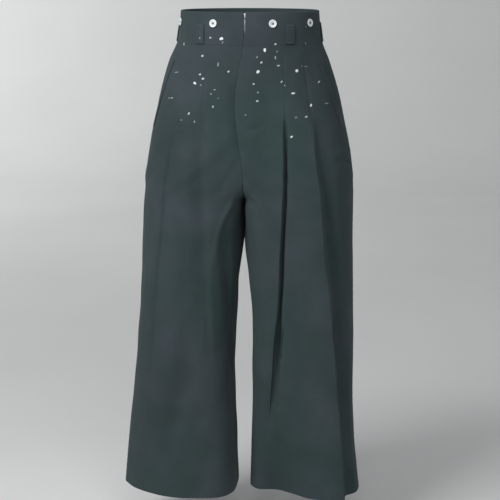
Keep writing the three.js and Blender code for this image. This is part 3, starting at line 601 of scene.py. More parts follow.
# A front or back panel, from under the waistband to the hem
def panel(leg, face, material):
    guides, spans = COLUMNS[(leg["name"], face)]
    spans = [1] * len(SEAM_MARKS) + spans + [1] * len(SEAM_MARKS)

    def distances_of(level, z):
        first = level["start"] if face == "front" else level["side_seam"]
        last = level["side_seam"] if face == "front" else level["end"]
        marks = [first] + [first + mark for mark in SEAM_MARKS]
        marks += [level["crests"][face][name] + offset for name, offset in guides]
        marks += [last - mark for mark in reversed(SEAM_MARKS)] + [last]
        return spread(marks, spans)

    points, normals, distances = surface_grid(leg, PANEL_HEIGHTS, distances_of)
    z = points[..., 2]
    points = points + normals * surface_relief(leg, face, points, distances)[..., None]
    wall = CLOTH + (HEM_WALL - CLOTH) * smooth_step(HEM_FOLD + HEM_STEP, HEM_FOLD, z)
    if (leg["name"], face) == ("left", "front"):
        wall = wall + fly_edge(distances - distances[:, :1], z)
    name = f"{leg['name']}_{face}_panel"
    weave_map = np.stack([distances, z], axis=-1)
    return wall_object(name, points, normals, wall, z - HEM, weave_map, material)


BAND_HEIGHTS = heights_between([
    (TOP_EDGE, 0.5), (TOP_EDGE - 1.5, 3), (WAIST_SEAM + 2.2, 0.55), (WAIST_SEAM, 1),
])


# How far each half of the waistband stays from the middle line, where the zip parts them
def half_slit(z):
    return max(0, (z - SLIT_END) / (TOP_EDGE - SLIT_END)) * SLIT_WIDTH / 2


# How far the waistband's face swells out between its edges
def band_swell(z, distances):
    swell = BAND_SWELL * np.sin(math.pi * (z - WAIST_SEAM) / (TOP_EDGE - WAIST_SEAM))
    waves = sum(height * np.sin(distances / round_length + z / down_length)
                for round_length, down_length, height in BAND_WAVES)
    return swell + waves * smooth_step(0, BAND_WAVE_REACH, z - WAIST_SEAM)


# Half of the waistband, from the zip to the centre back
def waistband(leg, material):
    def distances_of(level, z):
        return np.linspace(level["start"] + half_slit(z), level["end"], BAND_COLUMNS + 1)

    points, normals, distances = surface_grid(leg, BAND_HEIGHTS, distances_of)
    z = points[..., 2]
    points = points + normals * (BAND_PROUD + band_swell(z, distances))[..., None]
    from_end = distances - distances[:, :1]
    edge = np.minimum(TOP_EDGE - z, z - WAIST_SEAM + BAND_TURN)
    edge = np.where(z > SLIT_END, np.minimum(edge, from_end), edge)
    weave_map = np.stack([z, distances], axis=-1)
    return wall_object(f"{leg['name']}_band", points, normals, BAND_WALL, edge, weave_map, material)


# Heights of a narrow strip, close together near its ends, where it is rounded off
def strip_heights(top, end, step):
    return heights_between([
        (top, STRIP_END_STEP), (top - STRIP_END, step), (end + STRIP_END, STRIP_END_STEP), (end, step),
    ])


# How far a narrow strip's points are from its free edges
def strip_edges(heights, across):
    along = np.minimum(heights[0] - heights, heights - heights[-1])[:, None]
    sideways = np.minimum(across - across[0], across[-1] - across)[None, :]
    return np.minimum(along, sideways)


# How far a strip's outer face stands off the cloth, row by row from its top to its end
def lifts_along(heights, lift_at, wall):
    return np.array([lift_at(t) + wall for t in np.linspace(0, 1, len(heights))])


# A strip of cloth laid on the surface, its under side lifted by lift_at
def strip(name, leg, heights, middle_of, width, lift_at, wall, material):
    half = width / 2
    across = spread([-half, STRIP_EDGE - half, half - STRIP_EDGE, half], STRIP_SPANS)
    points, normals, distances = surface_grid(leg, heights, lambda level, z: middle_of(level, z) + across)
    points = points + normals * lifts_along(heights, lift_at, wall)[:, None, None]
    weave_map = np.stack([distances, points[..., 2]], axis=-1)
    return wall_object(name, points, normals, wall, strip_edges(heights, across), weave_map, material)


def front_at(leg, level, x):
    return length_where(leg["side"] * level["points"][:, 0], level["length"], x, "front")


LOOP_HEIGHTS = strip_heights(LOOP_TOP, LOOP_BOTTOM, 1.8)
LOOP_PLACES = ("front", "side")


# Middle line of a leg's two loops, one at the front and one over the side seam
def loop_middle(leg, place, level, z):
    if place == "side":
        return level["side_seam"]
    return front_at(leg, level, FRONT_LOOP_X[leg["name"]])


# A belt loop is sewn down at both ends and bows out between them
def loop_lift(t):
    return LOOP_SEAT + LOOP_RISE * min(1, 4 * min(t, 1 - t)) * math.sin(math.pi * t)


def belt_loops(material):
    made = {}
    for leg in LEGS.values():
        for place in LOOP_PLACES:
            made[f"belt_loop_{place}_{leg['name']}"] = strip(
                f"{leg['name']}_{place}_loop", leg, LOOP_HEIGHTS, partial(loop_middle, leg, place),
                LOOP_WIDTH, loop_lift, LOOP_WALL, material,
            )
    return made


# Grid that crosses the centre front or back, from one leg's ring to the other's
def across_middle(heights, face, half_width, step):
    offsets = np.append(np.arange(0, half_width, step), half_width)

    def distances_of(level, z):
        return level["start"] + offsets if face == "front" else level["end"] - offsets

    def joined(left, right):
        middle = (left[:, :1] + right[:, :1]) / 2
        return np.concatenate([right[:, :0:-1], middle, left[:, 1:]], axis=1)

    left_points, left_normals, _ = surface_grid(LEGS["left"], heights, distances_of)
    right_points, right_normals, _ = surface_grid(LEGS["right"], heights, distances_of)
    normals = normalised(joined(left_normals, right_normals))
    return joined(left_points, right_points), normals, np.concatenate([-offsets[:0:-1], offsets])


# A strip across the middle line, its outer face moved off the cloth's by lifts
def middle_strip(name, heights, face, half_width, step, lifts, wall, material):
    points, normals, across = across_middle(heights, face, half_width, step)
    points = points + normals * lifts[:, None, None]
    weave_map = np.stack(np.broadcast_arrays(across[None, :], heights[:, None]), axis=-1)
    return wall_object(name, points, normals, wall, strip_edges(heights, across), weave_map, material)


def back_loop(material):
    lifts = lifts_along(LOOP_HEIGHTS, loop_lift, LOOP_WALL)
    return middle_strip("centre_back_loop", LOOP_HEIGHTS, "back", LOOP_WIDTH / 2, LOOP_STEP, lifts,
                        LOOP_WALL, material)


ZIP_HEIGHTS = heights_between([(ZIP_TOP, 4), (ZIP_END, 1)])


def zip_tape(material):
    lifts = np.full(len(ZIP_HEIGHTS), -ZIP_DEPTH)
    return middle_strip("zip_tape_cloth", ZIP_HEIGHTS, "front", ZIP_HALF_WIDTH, ZIP_STEP, lifts,
                        ZIP_WALL, material)


WELT_HEIGHTS = strip_heights(POCKET_TOP, POCKET_END, 4)


def welt_middle(level, z):
    share = (z - POCKET_TOP) / (POCKET_END - POCKET_TOP)
    forward = POCKET_FORWARD["top"] + (POCKET_FORWARD["end"] - POCKET_FORWARD["top"]) * share
    return level["side_seam"] - forward - WELT_WIDTH / 2


def welt_lift(t):
    return WELT_LIFT


# The folded and stitched edge of a slanted side pocket
def pocket_edge(leg, material):
    return strip(f"{leg['name']}_pocket_welt", leg, WELT_HEIGHTS, welt_middle, WELT_WIDTH,
                 welt_lift, WELT_WALL, material)


# Adds a node to a material's or a modifier's tree. A socket's value may be another
# node's output, and an underscore in a socket's name stands for a space.
def add_node(tree, kind, settings=None, **sockets):
    node = tree.nodes.new(kind)
    for name, value in (settings or {}).items():
        setattr(node, name, value)
    for name, value in sockets.items():
        socket = node.inputs[name.replace("_", " ")]
        if isinstance(value, bpy.types.NodeSocket):
            tree.links.new(value, socket)
        else:
            socket.default_value = value
    return node


# An empty material, its tree, and the places on a piece in Object coordinates
def new_material(name):
    material = bpy.data.materials.new(name)
    material.use_nodes = True
    tree = material.node_tree
    tree.nodes.clear()
    return material, tree, add_node(tree, "ShaderNodeTexCoord").outputs["Object"]


# Ends a material's tree with its shader, whose sockets are given by name
def shaded(tree, **sockets):
    shader = add_node(tree, "ShaderNodeBsdfPrincipled", **sockets)
    add_node(tree, "ShaderNodeOutputMaterial", Surface=shader.outputs["BSDF"])


def noise(tree, place, **sockets):
    return add_node(tree, "ShaderNodeTexNoise", Vector=place, **sockets).outputs["Fac"]


def slanted_waves(tree, place, **sockets):
    slanted = {"bands_direction": "DIAGONAL"}
    return add_node(tree, "ShaderNodeTexWave", slanted, Vector=place, **sockets).outputs["Fac"]


def colour_between(tree, factor, stops):
    ramp = add_node(tree, "ShaderNodeValToRGB", Fac=factor)
    elements = ramp.color_ramp.elements
    while len(elements) < len(stops):
        elements.new(0.5)
    for element, (place, colour) in zip(elements, stops):
        element.position = place
        element.color = (*colour, 1)
    return ramp.outputs["Color"]


def multiplied(tree, first, second):
    multiply = {"data_type": "RGBA", "blend_type": "MULTIPLY"}
    return add_node(tree, "ShaderNodeMix", multiply, Factor=1, A=first, B=second).outputs["Result"]


def value_between(tree, factor, low, high):
    return add_node(tree, "ShaderNodeMapRange", Value=factor, To_Min=low, To_Max=high).outputs["Result"]


def bump(tree, height, **sockets):
    return add_node(tree, "ShaderNodeBump", Height=height, **sockets).outputs["Normal"]


# Colours of the twill, and the slight tints that drift over it
CLOTH_DARK = (0.036, 0.053, 0.055)
CLOTH_MIDDLE = (0.043, 0.062, 0.065)
CLOTH_PALE = (0.052, 0.073, 0.077)
TINTS = [(0.34, (0.94, 1.04, 0.99)), (0.5, (1.02, 1.0, 1.02)), (0.68, (1.18, 1.02, 1.12))]
YARN_TONES = [(0.3, (0.86, 0.86, 0.86)), (0.7, (1, 1, 1))]


# Twilled cotton: fine slanted ribs on the piece's own map, with fibre and a soft mottle
def twill(name, dark=CLOTH_DARK, middle=CLOTH_MIDDLE, pale=CLOTH_PALE):
    material, tree, place = new_material(name)
    weave = add_node(tree, "ShaderNodeUVMap", {"uv_map": "weave"}).outputs["UV"]
    ribs = slanted_waves(tree, weave, Scale=640.0, Distortion=0.6, Detail=1.0, Detail_Scale=2.0)
    fibre = noise(tree, weave, Scale=1900.0, Detail=3.0)
    mottle = noise(tree, place, Scale=9.0, Detail=5.0, Roughness=0.6)
    patches = noise(tree, place, Scale=4.5, Detail=2.0)
    wear = noise(tree, place, Scale=34.0, Detail=4.0)
    tone = colour_between(tree, mottle, [(0.3, dark), (0.5, middle), (0.72, pale)])
    tone = multiplied(tree, tone, colour_between(tree, patches, TINTS))
    ribbed = bump(tree, ribs, Strength=0.35, Distance=0.0003)
    shaded(
        tree,
        Base_Color=multiplied(tree, tone, colour_between(tree, fibre, YARN_TONES)),
        Roughness=value_between(tree, wear, 0.78, 0.94),
        Specular_IOR_Level=0.12,
        Sheen_Weight=0.05,
        Sheen_Roughness=0.5,
        Sheen_Tint=(0.75, 0.83, 0.87, 1),
        Normal=bump(tree, fibre, Strength=0.3, Distance=0.0002, Normal=ribbed),
    )
    return material


def moulded_plastic(name):
    material, tree, place = new_material(name)
    cloud = noise(tree, place, Scale=160.0, Detail=3.0)
    grain = noise(tree, place, Scale=900.0, Detail=2.0)
    shaded(
        tree,
        Base_Color=colour_between(tree, cloud, [(0.3, (0.66, 0.69, 0.70)), (0.7, (0.82, 0.84, 0.84))]),
        Roughness=value_between(tree, grain, 0.24, 0.42),
        Normal=bump(tree, grain, Strength=0.1, Distance=0.0001),
    )
    return material


def zip_metal(name):
    material, tree, place = new_material(name)
    rub = noise(tree, place, Scale=700.0, Detail=4.0)
    shaded(
        tree,
        Base_Color=colour_between(tree, rub, [(0.3, (0.62, 0.65, 0.66)), (0.7, (0.80, 0.82, 0.83))]),
        Roughness=value_between(tree, rub, 0.28, 0.5),
        Metallic=0.5,
        Normal=bump(tree, rub, Strength=0.15, Distance=0.0001),
    )
    return material


def spun_thread(name, dark, pale):
    material, tree, place = new_material(name)
    twist = slanted_waves(tree, place, Scale=900.0, Distortion=1.0)
    shaded(
        tree,
        Base_Color=colour_between(tree, twist, [(0.2, dark), (0.8, pale)]),
        Roughness=0.7,
        Normal=bump(tree, twist, Strength=0.3, Distance=0.0001),
    )
    return material


# Dried white paint: each fleck's own cover, thin ones let the cloth's grey through
PAINT_TONES = [(0.0, CLOTH_PALE), (0.45, (0.26, 0.29, 0.30)), (1.0, (0.80, 0.82, 0.82))]


def dried_paint(name):
    material, tree, place = new_material(name)
    cover = add_node(tree, "ShaderNodeAttribute", {"attribute_name": "cover"}).outputs["Fac"]
    grain = noise(tree, place, Scale=1400.0, Detail=3.0)
    shaded(
        tree,
        Base_Color=colour_between(tree, cover, PAINT_TONES),
        Roughness=0.62,
        Normal=bump(tree, grain, Strength=0.3, Distance=0.0002),
    )
    return material


def pale_floor(name):
    material, tree, place = new_material(name)
    cloud = noise(tree, place, Scale=1.2, Detail=3.0)
    shaded(
        tree,
        Base_Color=colour_between(tree, cloud, [(0.3, (0.80, 0.80, 0.79)), (0.7, (0.84, 0.84, 0.83))]),
        Roughness=0.9,
    )
    return material


# Buttons: turned from their profile of radius and height, with four holes
BUTTON_PROFILE = [
    (0, 0), (5.6, 0), (6.7, 0.35), (7.35, 0.9), (7.6, 1.5), (7.45, 1.95), (7.0, 2.25), (6.4, 2.3),
    (5.8, 2.1), (5.2, 1.7), (4.4, 1.45), (0, 1.4),
]
BUTTON_FACETS = 64
BUTTON_SHARP = math.radians(38)
HOLE_RADIUS = 0.95
HOLE_OFFSET = 1.75
HOLE_ACROSS = HOLE_OFFSET * math.sin(math.pi / 4)
HOLE_PROFILE = [(0, -2), (HOLE_RADIUS, -2), (HOLE_RADIUS, 5), (0, 5)]
HOLE_FACETS = 16

# Two bars of thread sew each button down, each of two strands, over a short shank. A
# strand's course is its way along the bar, in shares of HOLE_ACROSS, and its height.
STRAND_COURSE = [(-1, -0.6), (-1, 1.5), (-0.8, 1.95), (0.8, 1.95), (1, 1.5), (1, -0.6)]
STRAND_SHIFTS = (-0.28, 0.3)
STRAND_RADIUS = 0.42
SHANK_PROFILE = [(0, -0.9), (1.9, -0.9), (1.5, -0.3), (1.6, 0.2), (0, 0.2)]
SHANK_FACETS = 14

# A direction that no strand runs along
ASIDE = (0.13, 0.31, 0.94)


def turned_mesh(profile, facets):
    vertices, faces = [], []
    rings = []
    for radius, z in profile:
        if radius == 0:
            rings.append([len(vertices)] * facets)
            vertices.append((0, 0, z))
            continue
        rings.append(list(range(len(vertices), len(vertices) + facets)))
        for i in range(facets):
            turn = 2 * math.pi * i / facets
            vertices.append((radius * math.cos(turn), radius * math.sin(turn), z))
    for low, high in zip(rings[:-1], rings[1:]):
        for i in range(facets):
            j = (i + 1) % facets
            corners = [low[i], low[j], high[j], high[i]]
            faces.append(list(dict.fromkeys(corners)))
    return np.array(vertices, dtype=float), faces


def tube_mesh(path, radius, facets=10):
    path = np.array(path, dtype=float)
    vertices, faces = [], []
    for i, point in enumerate(path):
        ahead = normalised(path[min(i + 1, len(path) - 1)] - path[max(i - 1, 0)])
        side = normalised(np.cross(ahead, ASIDE))
        up = np.cross(ahead, side)
        for k in range(facets):
            turn = 2 * math.pi * k / facets
            vertices.append(point + radius * (math.cos(turn) * side + math.sin(turn) * up))
    for i in range(len(path) - 1):
        for k in range(facets):
            j = (k + 1) % facets
            faces.append([i * facets + j, i * facets + k, (i + 1) * facets + k, (i + 1) * facets + j])
    faces.append(list(range(facets)))
    last = (len(path) - 1) * facets
    faces.append([last + k for k in reversed(range(facets))])
    return np.array(vertices), faces


# Turns a small part to stand on the surface at a point, its own z along the normal
def seated(vertices, point, normal, lift):
    up = Vector((0, 0, 1))
    z_axis = Vector(normal)
    x_axis = up.cross(z_axis).normalized()
    y_axis = z_axis.cross(x_axis)
    turn = np.array([x_axis, y_axis, z_axis])
    return np.asarray(vertices) @ turn + point + normal * lift


# Replaces an object's modifiers by the plain mesh that they give
def baked(piece):
    depsgraph = bpy.context.evaluated_depsgraph_get()
    mesh = bpy.data.meshes.new_from_object(piece.evaluated_get(depsgraph))
    piece.modifiers.clear()
    piece.data = mesh
    return piece


def joined_mesh(parts):
    vertices, faces, count = [], [], 0
    for part_vertices, part_faces in parts:
        vertices.append(part_vertices)
        faces += [[i + count for i in corners] for corners in part_faces]
        count += len(part_vertices)
    return np.concatenate(vertices), faces


def button_with_holes(material):
    vertices, faces = turned_mesh(BUTTON_PROFILE, BUTTON_FACETS)
    blank = make_object("button blank", vertices, faces, material)
    drills = []
    for i in range(4):
        turn = math.pi / 4 + i * math.pi / 2
        points, sides = turned_mesh(HOLE_PROFILE, HOLE_FACETS)
        points += (HOLE_OFFSET * math.cos(turn), HOLE_OFFSET * math.sin(turn), 0)
        drills.append(make_object(f"drill {i}", points, sides, material))
    for drill in drills:
        cut = blank.modifiers.new("hole", "BOOLEAN")
        cut.object = drill
        cut.solver = "EXACT"
    drilled = baked(blank)
    for drill in drills:
        bpy.data.objects.remove(drill)
    vertices = np.array([v.co[:] for v in drilled.data.vertices]) / MM
    faces = [list(p.vertices) for p in drilled.data.polygons]
    bpy.data.objects.remove(drilled)
    return vertices, faces


def button_sewing():
    parts = []
    for side in (-1, 1):
        for shift in STRAND_SHIFTS:
            strand = [(side * HOLE_ACROSS + shift, along * HOLE_ACROSS, z) for along, z in STRAND_COURSE]
            parts.append(tube_mesh(strand, STRAND_RADIUS))
    return joined_mesh([*parts, turned_mesh(SHANK_PROFILE, SHANK_FACETS)])


def buttons(plastic, thread):
    button, button_faces = button_with_holes(plastic)
    sewing, sewing_faces = button_sewing()
    made, threads = {}, []
    for leg in LEGS.values():
        for place, x in BUTTON_X[leg["name"]].items():
            _, points, normals = surface_row(
                leg, BUTTON_HEIGHT, lambda level, leg=leg, x=x: np.array([front_at(leg, level, x)])
            )
            seat = (points[0], normals[0], BUTTON_LIFT)
            name = f"{leg['name']}_{place}_button"
            piece = make_object(name, seated(button, *seat), button_faces, plastic)
            piece.data.set_sharp_from_angle(angle=BUTTON_SHARP)
            made[f"button_{place}_{leg['name']}"] = piece
            threads.append((seated(sewing, *seat), sewing_faces))
    vertices, faces = joined_mesh(threads)
    return made, make_object("button_thread", vertices, faces, thread)


# Courses of points with their outward normals, as one mesh of edges for the stitches
def course_object(name, courses):
    points = np.concatenate([points for points, _ in courses])
    normals = np.concatenate([normals for _, normals in courses])
    edges, count = [], 0
    for course, _ in courses:
        edges += [(count + i, count + i + 1) for i in range(len(course) - 1)]
        count += len(course)
    mesh = bpy.data.meshes.new(name)
    mesh.from_pydata((points * MM).tolist(), edges, [])
    outward = mesh.attributes.new("outward", "FLOAT_VECTOR", "POINT")
    outward.data.foreach_set("vector", normals.ravel())
    made = bpy.data.objects.new(name, mesh)
    bpy.context.scene.collection.objects.link(made)
    return made


# Inputs of the stitches' tree, by name and kind
STITCH_INPUTS = {
    "Geometry": "Geometry", "Spacing": "Float", "Length": "Float", "Thickness": "Float",
    "Seed": "Int", "Material": "Material",
}
STITCH_LEAST = (0.93, 0.9, 0.9)
STITCH_MOST = (1.05, 1.1, 1.1)


# Stitches along every course: short rounded threads, evenly spaced and slightly uneven
def stitch_tree():
    tree = bpy.data.node_groups.new("stitches along a course", "GeometryNodeTree")
    for name, kind in STITCH_INPUTS.items():
        tree.interface.new_socket(name, in_out="INPUT", socket_type=f"NodeSocket{kind}")
    tree.interface.new_socket("Geometry", in_out="OUTPUT", socket_type="NodeSocketGeometry")
    given = add_node(tree, "NodeGroupInput").outputs
    curve = add_node(tree, "GeometryNodeMeshToCurve", Mesh=given["Geometry"])
    even = add_node(tree, "GeometryNodeResampleCurve", {"mode": "LENGTH"},
                    Curve=curve.outputs["Curve"], Length=given["Spacing"])
    tangent = add_node(tree, "GeometryNodeInputTangent")
    outward = add_node(tree, "GeometryNodeInputNamedAttribute", {"data_type": "FLOAT_VECTOR"},
                       Name="outward")
    ahead = add_node(tree, "FunctionNodeAlignRotationToVector", {"axis": "X"},
                     Vector=tangent.outputs["Tangent"])
    upright = add_node(tree, "FunctionNodeAlignRotationToVector", {"axis": "Z", "pivot_axis": "X"},
                       Rotation=ahead.outputs["Rotation"], Vector=outward.outputs["Attribute"])
    jitter = add_node(tree, "FunctionNodeRandomValue", {"data_type": "FLOAT_VECTOR"},
                      Min=STITCH_LEAST, Max=STITCH_MOST, Seed=given["Seed"])
    size = add_node(tree, "ShaderNodeCombineXYZ",
                    X=given["Length"], Y=given["Thickness"], Z=given["Thickness"])
    scale = add_node(tree, "ShaderNodeVectorMath", {"operation": "MULTIPLY"})
    tree.links.new(size.outputs["Vector"], scale.inputs[0])
    tree.links.new(jitter.outputs["Value"], scale.inputs[1])
    bead = add_node(tree, "GeometryNodeMeshUVSphere", Segments=6, Rings=5, Radius=0.5)
    placed = add_node(tree, "GeometryNodeInstanceOnPoints",
                      Points=even.outputs["Curve"], Instance=bead.outputs["Mesh"],
                      Rotation=upright.outputs["Rotation"], Scale=scale.outputs["Vector"])
    real = add_node(tree, "GeometryNodeRealizeInstances", Geometry=placed.outputs["Instances"])
    finish = add_node(tree, "GeometryNodeSetMaterial",
                      Geometry=real.outputs["Geometry"], Material=given["Material"])
    add_node(tree, "NodeGroupOutput", Geometry=finish.outputs["Geometry"])
    return tree


# Stitches of these sizes in millimetres along the courses, as one plain mesh
def stitched(name, courses, tree, material, spacing, length, thickness, seed):
    piece = course_object(name, courses)
    modifier = piece.modifiers.new("stitches", "NODES")
    modifier.node_group = tree
    values = {"Spacing": spacing * MM, "Length": length * MM, "Thickness": thickness * MM,
              "Seed": seed, "Material": material}
    for socket in tree.interface.items_tree:
        if socket.in_out == "INPUT" and socket.name in values:
            modifier[socket.identifier] = values[socket.name]
    baked(piece)
    piece.data.polygons.foreach_set("use_smooth", [True] * len(piece.data.polygons))
    return piece


# Topstitching: its distance from the waistband's edges, the zip and the pocket's edge
BAND_EDGE_STITCH = 3.4
BAND_SEAM_STITCH = 2.4
BAND_START_STITCH = 3
BAND_STITCH_STEPS = 200
WELT_STITCH = 2.2
WELT_PLAIN_ROWS = 4
STITCH_SINK = 0.05


def band_course(leg, z):
    def distances_of(level):
        start = level["start"] + half_slit(z) + BAND_START_STITCH
        return np.linspace(start, level["end"], BAND_STITCH_STEPS)

    distances, points, normals = surface_row(leg, z, distances_of)
    lifts = BAND_PROUD - STITCH_SINK + band_swell(z, distances)
    return points + normals * lifts[:, None], normals


def welt_course(leg):
    offset = WELT_WIDTH / 2 - WELT_STITCH

    def distances_of(level, z):
        return np.array([welt_middle(level, z) + offset])

    heights = WELT_HEIGHTS[WELT_PLAIN_ROWS:-WELT_PLAIN_ROWS]
    points, normals, _ = surface_grid(leg, heights, distances_of)
    lifts = lifts_along(heights, welt_lift, WELT_WALL)
    return points[:, 0] + normals[:, 0] * lifts[:, None], normals[:, 0]


def topstitch_courses():
    courses = []
    for leg in LEGS.values():
        courses.append(band_course(leg, TOP_EDGE - BAND_EDGE_STITCH))
        courses.append(band_course(leg, WAIST_SEAM + BAND_SEAM_STITCH))
        courses.append(welt_course(leg))
    return courses


# Bar tacks hold a loop's two ends: three close lines of stitches across each end
TACK_WIDTH = 12
TACK_LINES = np.array([2.6, 3.1, 3.6])
TACK_LIFT = 0.1


def tack_courses():
    heights = np.concatenate([LOOP_TOP - TACK_LINES, LOOP_BOTTOM + TACK_LINES[::-1]])
    shares = (heights - LOOP_TOP) / (LOOP_BOTTOM - LOOP_TOP)
    across = np.linspace(-TACK_WIDTH / 2, TACK_WIDTH / 2, TACK_WIDTH + 1)
    grids = []
    for leg in LEGS.values():
        for place in LOOP_PLACES:
            middle_of = partial(loop_middle, leg, place)
            grids.append(surface_grid(leg, heights, lambda level, z: middle_of(level, z) + across))
    grids.append(across_middle(heights, "back", TACK_WIDTH / 2, 1))
    courses = []
    for points, normals, _ in grids:
        for row, row_normals, share in zip(points, normals, shares):
            courses.append((row + row_normals * (loop_lift(share) + LOOP_WALL + TACK_LIFT), row_normals))
    return courses


# Zip teeth: two rows of small blocks that mesh along the middle of the tape, close to
# the cloth's face in the slit and back on the tape below it
TOOTH_PITCH = 1.6
TEETH_TOP = ZIP_TOP - 1.5
TEETH_END = ZIP_END + 3
TEETH_APART = 0.85
TEETH_DEPTH = 0.7
TEETH_DEPTH_BELOW = ZIP_DEPTH - 0.35
TEETH_RISE = 12


def teeth_course(side):
    top = TEETH_TOP - (0.5 * TOOTH_PITCH if side > 0 else 0)
    heights = heights_between([(top, 2), (TEETH_END, 1)])
    points, normals, _ = across_middle(heights, "front", ZIP_HALF_WIDTH, ZIP_HALF_WIDTH)
    in_slit = smooth_step(SLIT_END - TEETH_RISE, SLIT_END, heights)[:, None]
    depth = (1 - in_slit) * TEETH_DEPTH_BELOW + in_slit * TEETH_DEPTH
    return points[:, 1] + np.array([side * TEETH_APART, 0, 0]) - normals[:, 1] * depth, normals[:, 1]


SLIDER_WELD = 0.01
SLIDER_EDGE = 0.5
SLIDER_EDGE_STEPS = 3


# The slider's body is the CAD's own, welded and its edges rounded
def zip_slider(material):
    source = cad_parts["zip_slider"]
    mesh = source.data.copy()
    mesh.name = "zip_slider_body"
    made = bpy.data.objects.new("zip_slider_body", mesh)
    made.matrix_world = source.matrix_world
    bpy.context.scene.collection.objects.link(made)
    weld = made.modifiers.new("weld", "WELD")
    weld.merge_threshold = SLIDER_WELD * MM
    bevel = made.modifiers.new("edges", "BEVEL")
    bevel.width = SLIDER_EDGE * MM
    bevel.segments = SLIDER_EDGE_STEPS
    bevel.limit_method = "ANGLE"
    bpy.context.view_layer.update()
    place = made.matrix_world.copy()
    baked(made)
    made.data.transform(place)
    made.matrix_world = Matrix.Identity(4)
    made.data.materials.clear()
    made.data.materials.append(material)
    return made


# Flecks of paint, charted one by one: distance from the middle to the wearer's left, height,
# length, width, turn of the length from level in degrees, and cover from 0 to 1
FLECKS = [
    (-88, -30, 4, 3, 60, 0.35), (-67, -29, 5, 4, 20, 0.6), (-45, -30, 8, 5.5, 15, 1.0),
    (-43, -37, 5, 3, 80, 0.3), (-122, -43, 6, 2.6, 85, 0.55), (-82, -63, 5, 4, 40, 0.6),
    (-51, -78, 8, 3, 88, 0.4), (-31, -91, 5, 4, 30, 0.6), (-135, -96, 9, 2, 14, 0.4),
    (-86, -97, 5, 3.4, 10, 0.65), (-80, -105, 6, 4, 30, 0.75), (-96, -114, 6.6, 4.4, -40, 0.85),
    (-84, -117, 3, 2.4, 0, 0.5), (-57, -125, 6, 2.6, 5, 0.4), (-64, -133, 4, 3, 0, 0.4),
    (-50, -141, 3, 2.5, 0, 0.25), (-143, -144, 5, 2.6, 4, 0.6), (-149, -145, 3.4, 2.4, 0, 0.45),
    (-60, -157, 5, 2.8, 86, 0.6), (-107, -171, 6.5, 3.4, 55, 0.65), (-122, -184, 4, 3, 0, 0.25),
    (-96, -186, 5, 2.8, 84, 0.5), (57, -40, 5, 4, 30, 0.6), (37, -51, 8, 4.4, 78, 1.0),
    (60, -54, 4, 3, 0, 0.25), (57, -65, 5.5, 2.8, 86, 0.55), (23, -64, 4, 3.4, 0, 0.4),
    (31, -74, 5, 4.2, 25, 0.65), (63, -80, 6.4, 2.8, 4, 0.6), (25, -91, 7, 5.4, 60, 0.95),
    (97, -90, 6.4, 6, 20, 0.95), (106, -82, 3, 2.4, 0, 0.25), (114, -83, 8, 2.2, 0, 0.2),
    (69, -110, 5, 3, 50, 0.6), (75, -117, 3, 2.6, 0, 0.5), (17, -114, 4.6, 3.6, 0, 0.6),
    (25, -130, 4, 3.4, 0, 0.4), (24, -146, 5, 4.2, 40, 0.65), (91, -132, 7.4, 4, 6, 0.85),
    (138, -113, 5, 3, 45, 0.6), (124, -156, 6.6, 4, 84, 0.85), (153, -154, 8, 2.4, -8, 0.4),
    (116, -176, 5, 4, 30, 0.65), (97, -177, 5, 3.2, 10, 0.25), (89, -213, 6, 4.2, 35, 0.8),
    (2, -172, 5, 3, 0, 0.22), (112, -40, 4.4, 2.2, 88, 0.25), (112, -9, 3, 2.2, 0, 0.25),
]
FLECK_CORNERS = 14
FLECK_WOBBLE = 0.16
FLECK_SEED = 11

# A fleck is a low dome: its rings as shares of its size, and their lift off the cloth
FLECK_RINGS = [(0.0, 0.26), (0.45, 0.24), (0.8, 0.15), (1.0, -0.08)]


# Finds the nearest cloth behind a place on the front, with its outward normal
def cloth_finder(cloth_pieces):
    bpy.context.view_layer.update()
    trees = []
    for piece in cloth_pieces:
        corners = [v.co[:] for v in piece.data.vertices]
        trees.append(BVHTree.FromPolygons(corners, [tuple(p.vertices) for p in piece.data.polygons]))

    def on_cloth(x, z):
        hits = [tree.ray_cast(Vector((x * MM, -1, z * MM)), Vector((0, 1, 0))) for tree in trees]
        nearest = min((hit for hit in hits if hit[0] is not None), key=lambda hit: hit[3])
        point, normal = np.array(nearest[0]) / MM, np.array(nearest[1])
        return point, -normal if normal[1] > 0 else normal

    return on_cloth


def fleck_mesh(x, z, length, width, turn, wobble, on_cloth):
    angle = math.radians(turn)
    vertices, faces = [], []
    for share, lift in FLECK_RINGS:
        for corner in range(FLECK_CORNERS if share else 1):
            round_turn = 2 * math.pi * corner / FLECK_CORNERS
            u = share * wobble[corner] * length / 2 * math.cos(round_turn)
            v = share * wobble[corner] * width / 2 * math.sin(round_turn)
            at_x = x + u * math.cos(angle) - v * math.sin(angle)
            at_z = z + u * math.sin(angle) + v * math.cos(angle)
            point, normal = on_cloth(at_x, at_z)
            vertices.append(point + normal * lift)
    for corner in range(FLECK_CORNERS):
        after = (corner + 1) % FLECK_CORNERS
        faces.append([0, 1 + corner, 1 + after])
        for ring in range(len(FLECK_RINGS) - 2):
            low = 1 + ring * FLECK_CORNERS
            high = low + FLECK_CORNERS
            faces.append([low + corner, high + corner, high + after, low + after])
    return np.array(vertices), faces


def paint_flecks(cloth_pieces, material):
    on_cloth = cloth_finder(cloth_pieces)
    chance = np.random.default_rng(FLECK_SEED)
    parts, covers = [], []
    for x, z, length, width, turn, cover in FLECKS:
        wobble = 1 + FLECK_WOBBLE * chance.standard_normal(FLECK_CORNERS)
        wobble = (wobble + np.roll(wobble, 1)) / 2
        vertices, faces = fleck_mesh(x, z, length, width, turn, wobble, on_cloth)
        parts.append((vertices, faces))
        covers += [cover] * len(vertices)
    vertices, faces = joined_mesh(parts)
    piece = make_object("paint_flecks", vertices, faces, material)
    values = piece.data.attributes.new("cover", "FLOAT", "POINT")
    values.data.foreach_set("value", covers)
    return piece


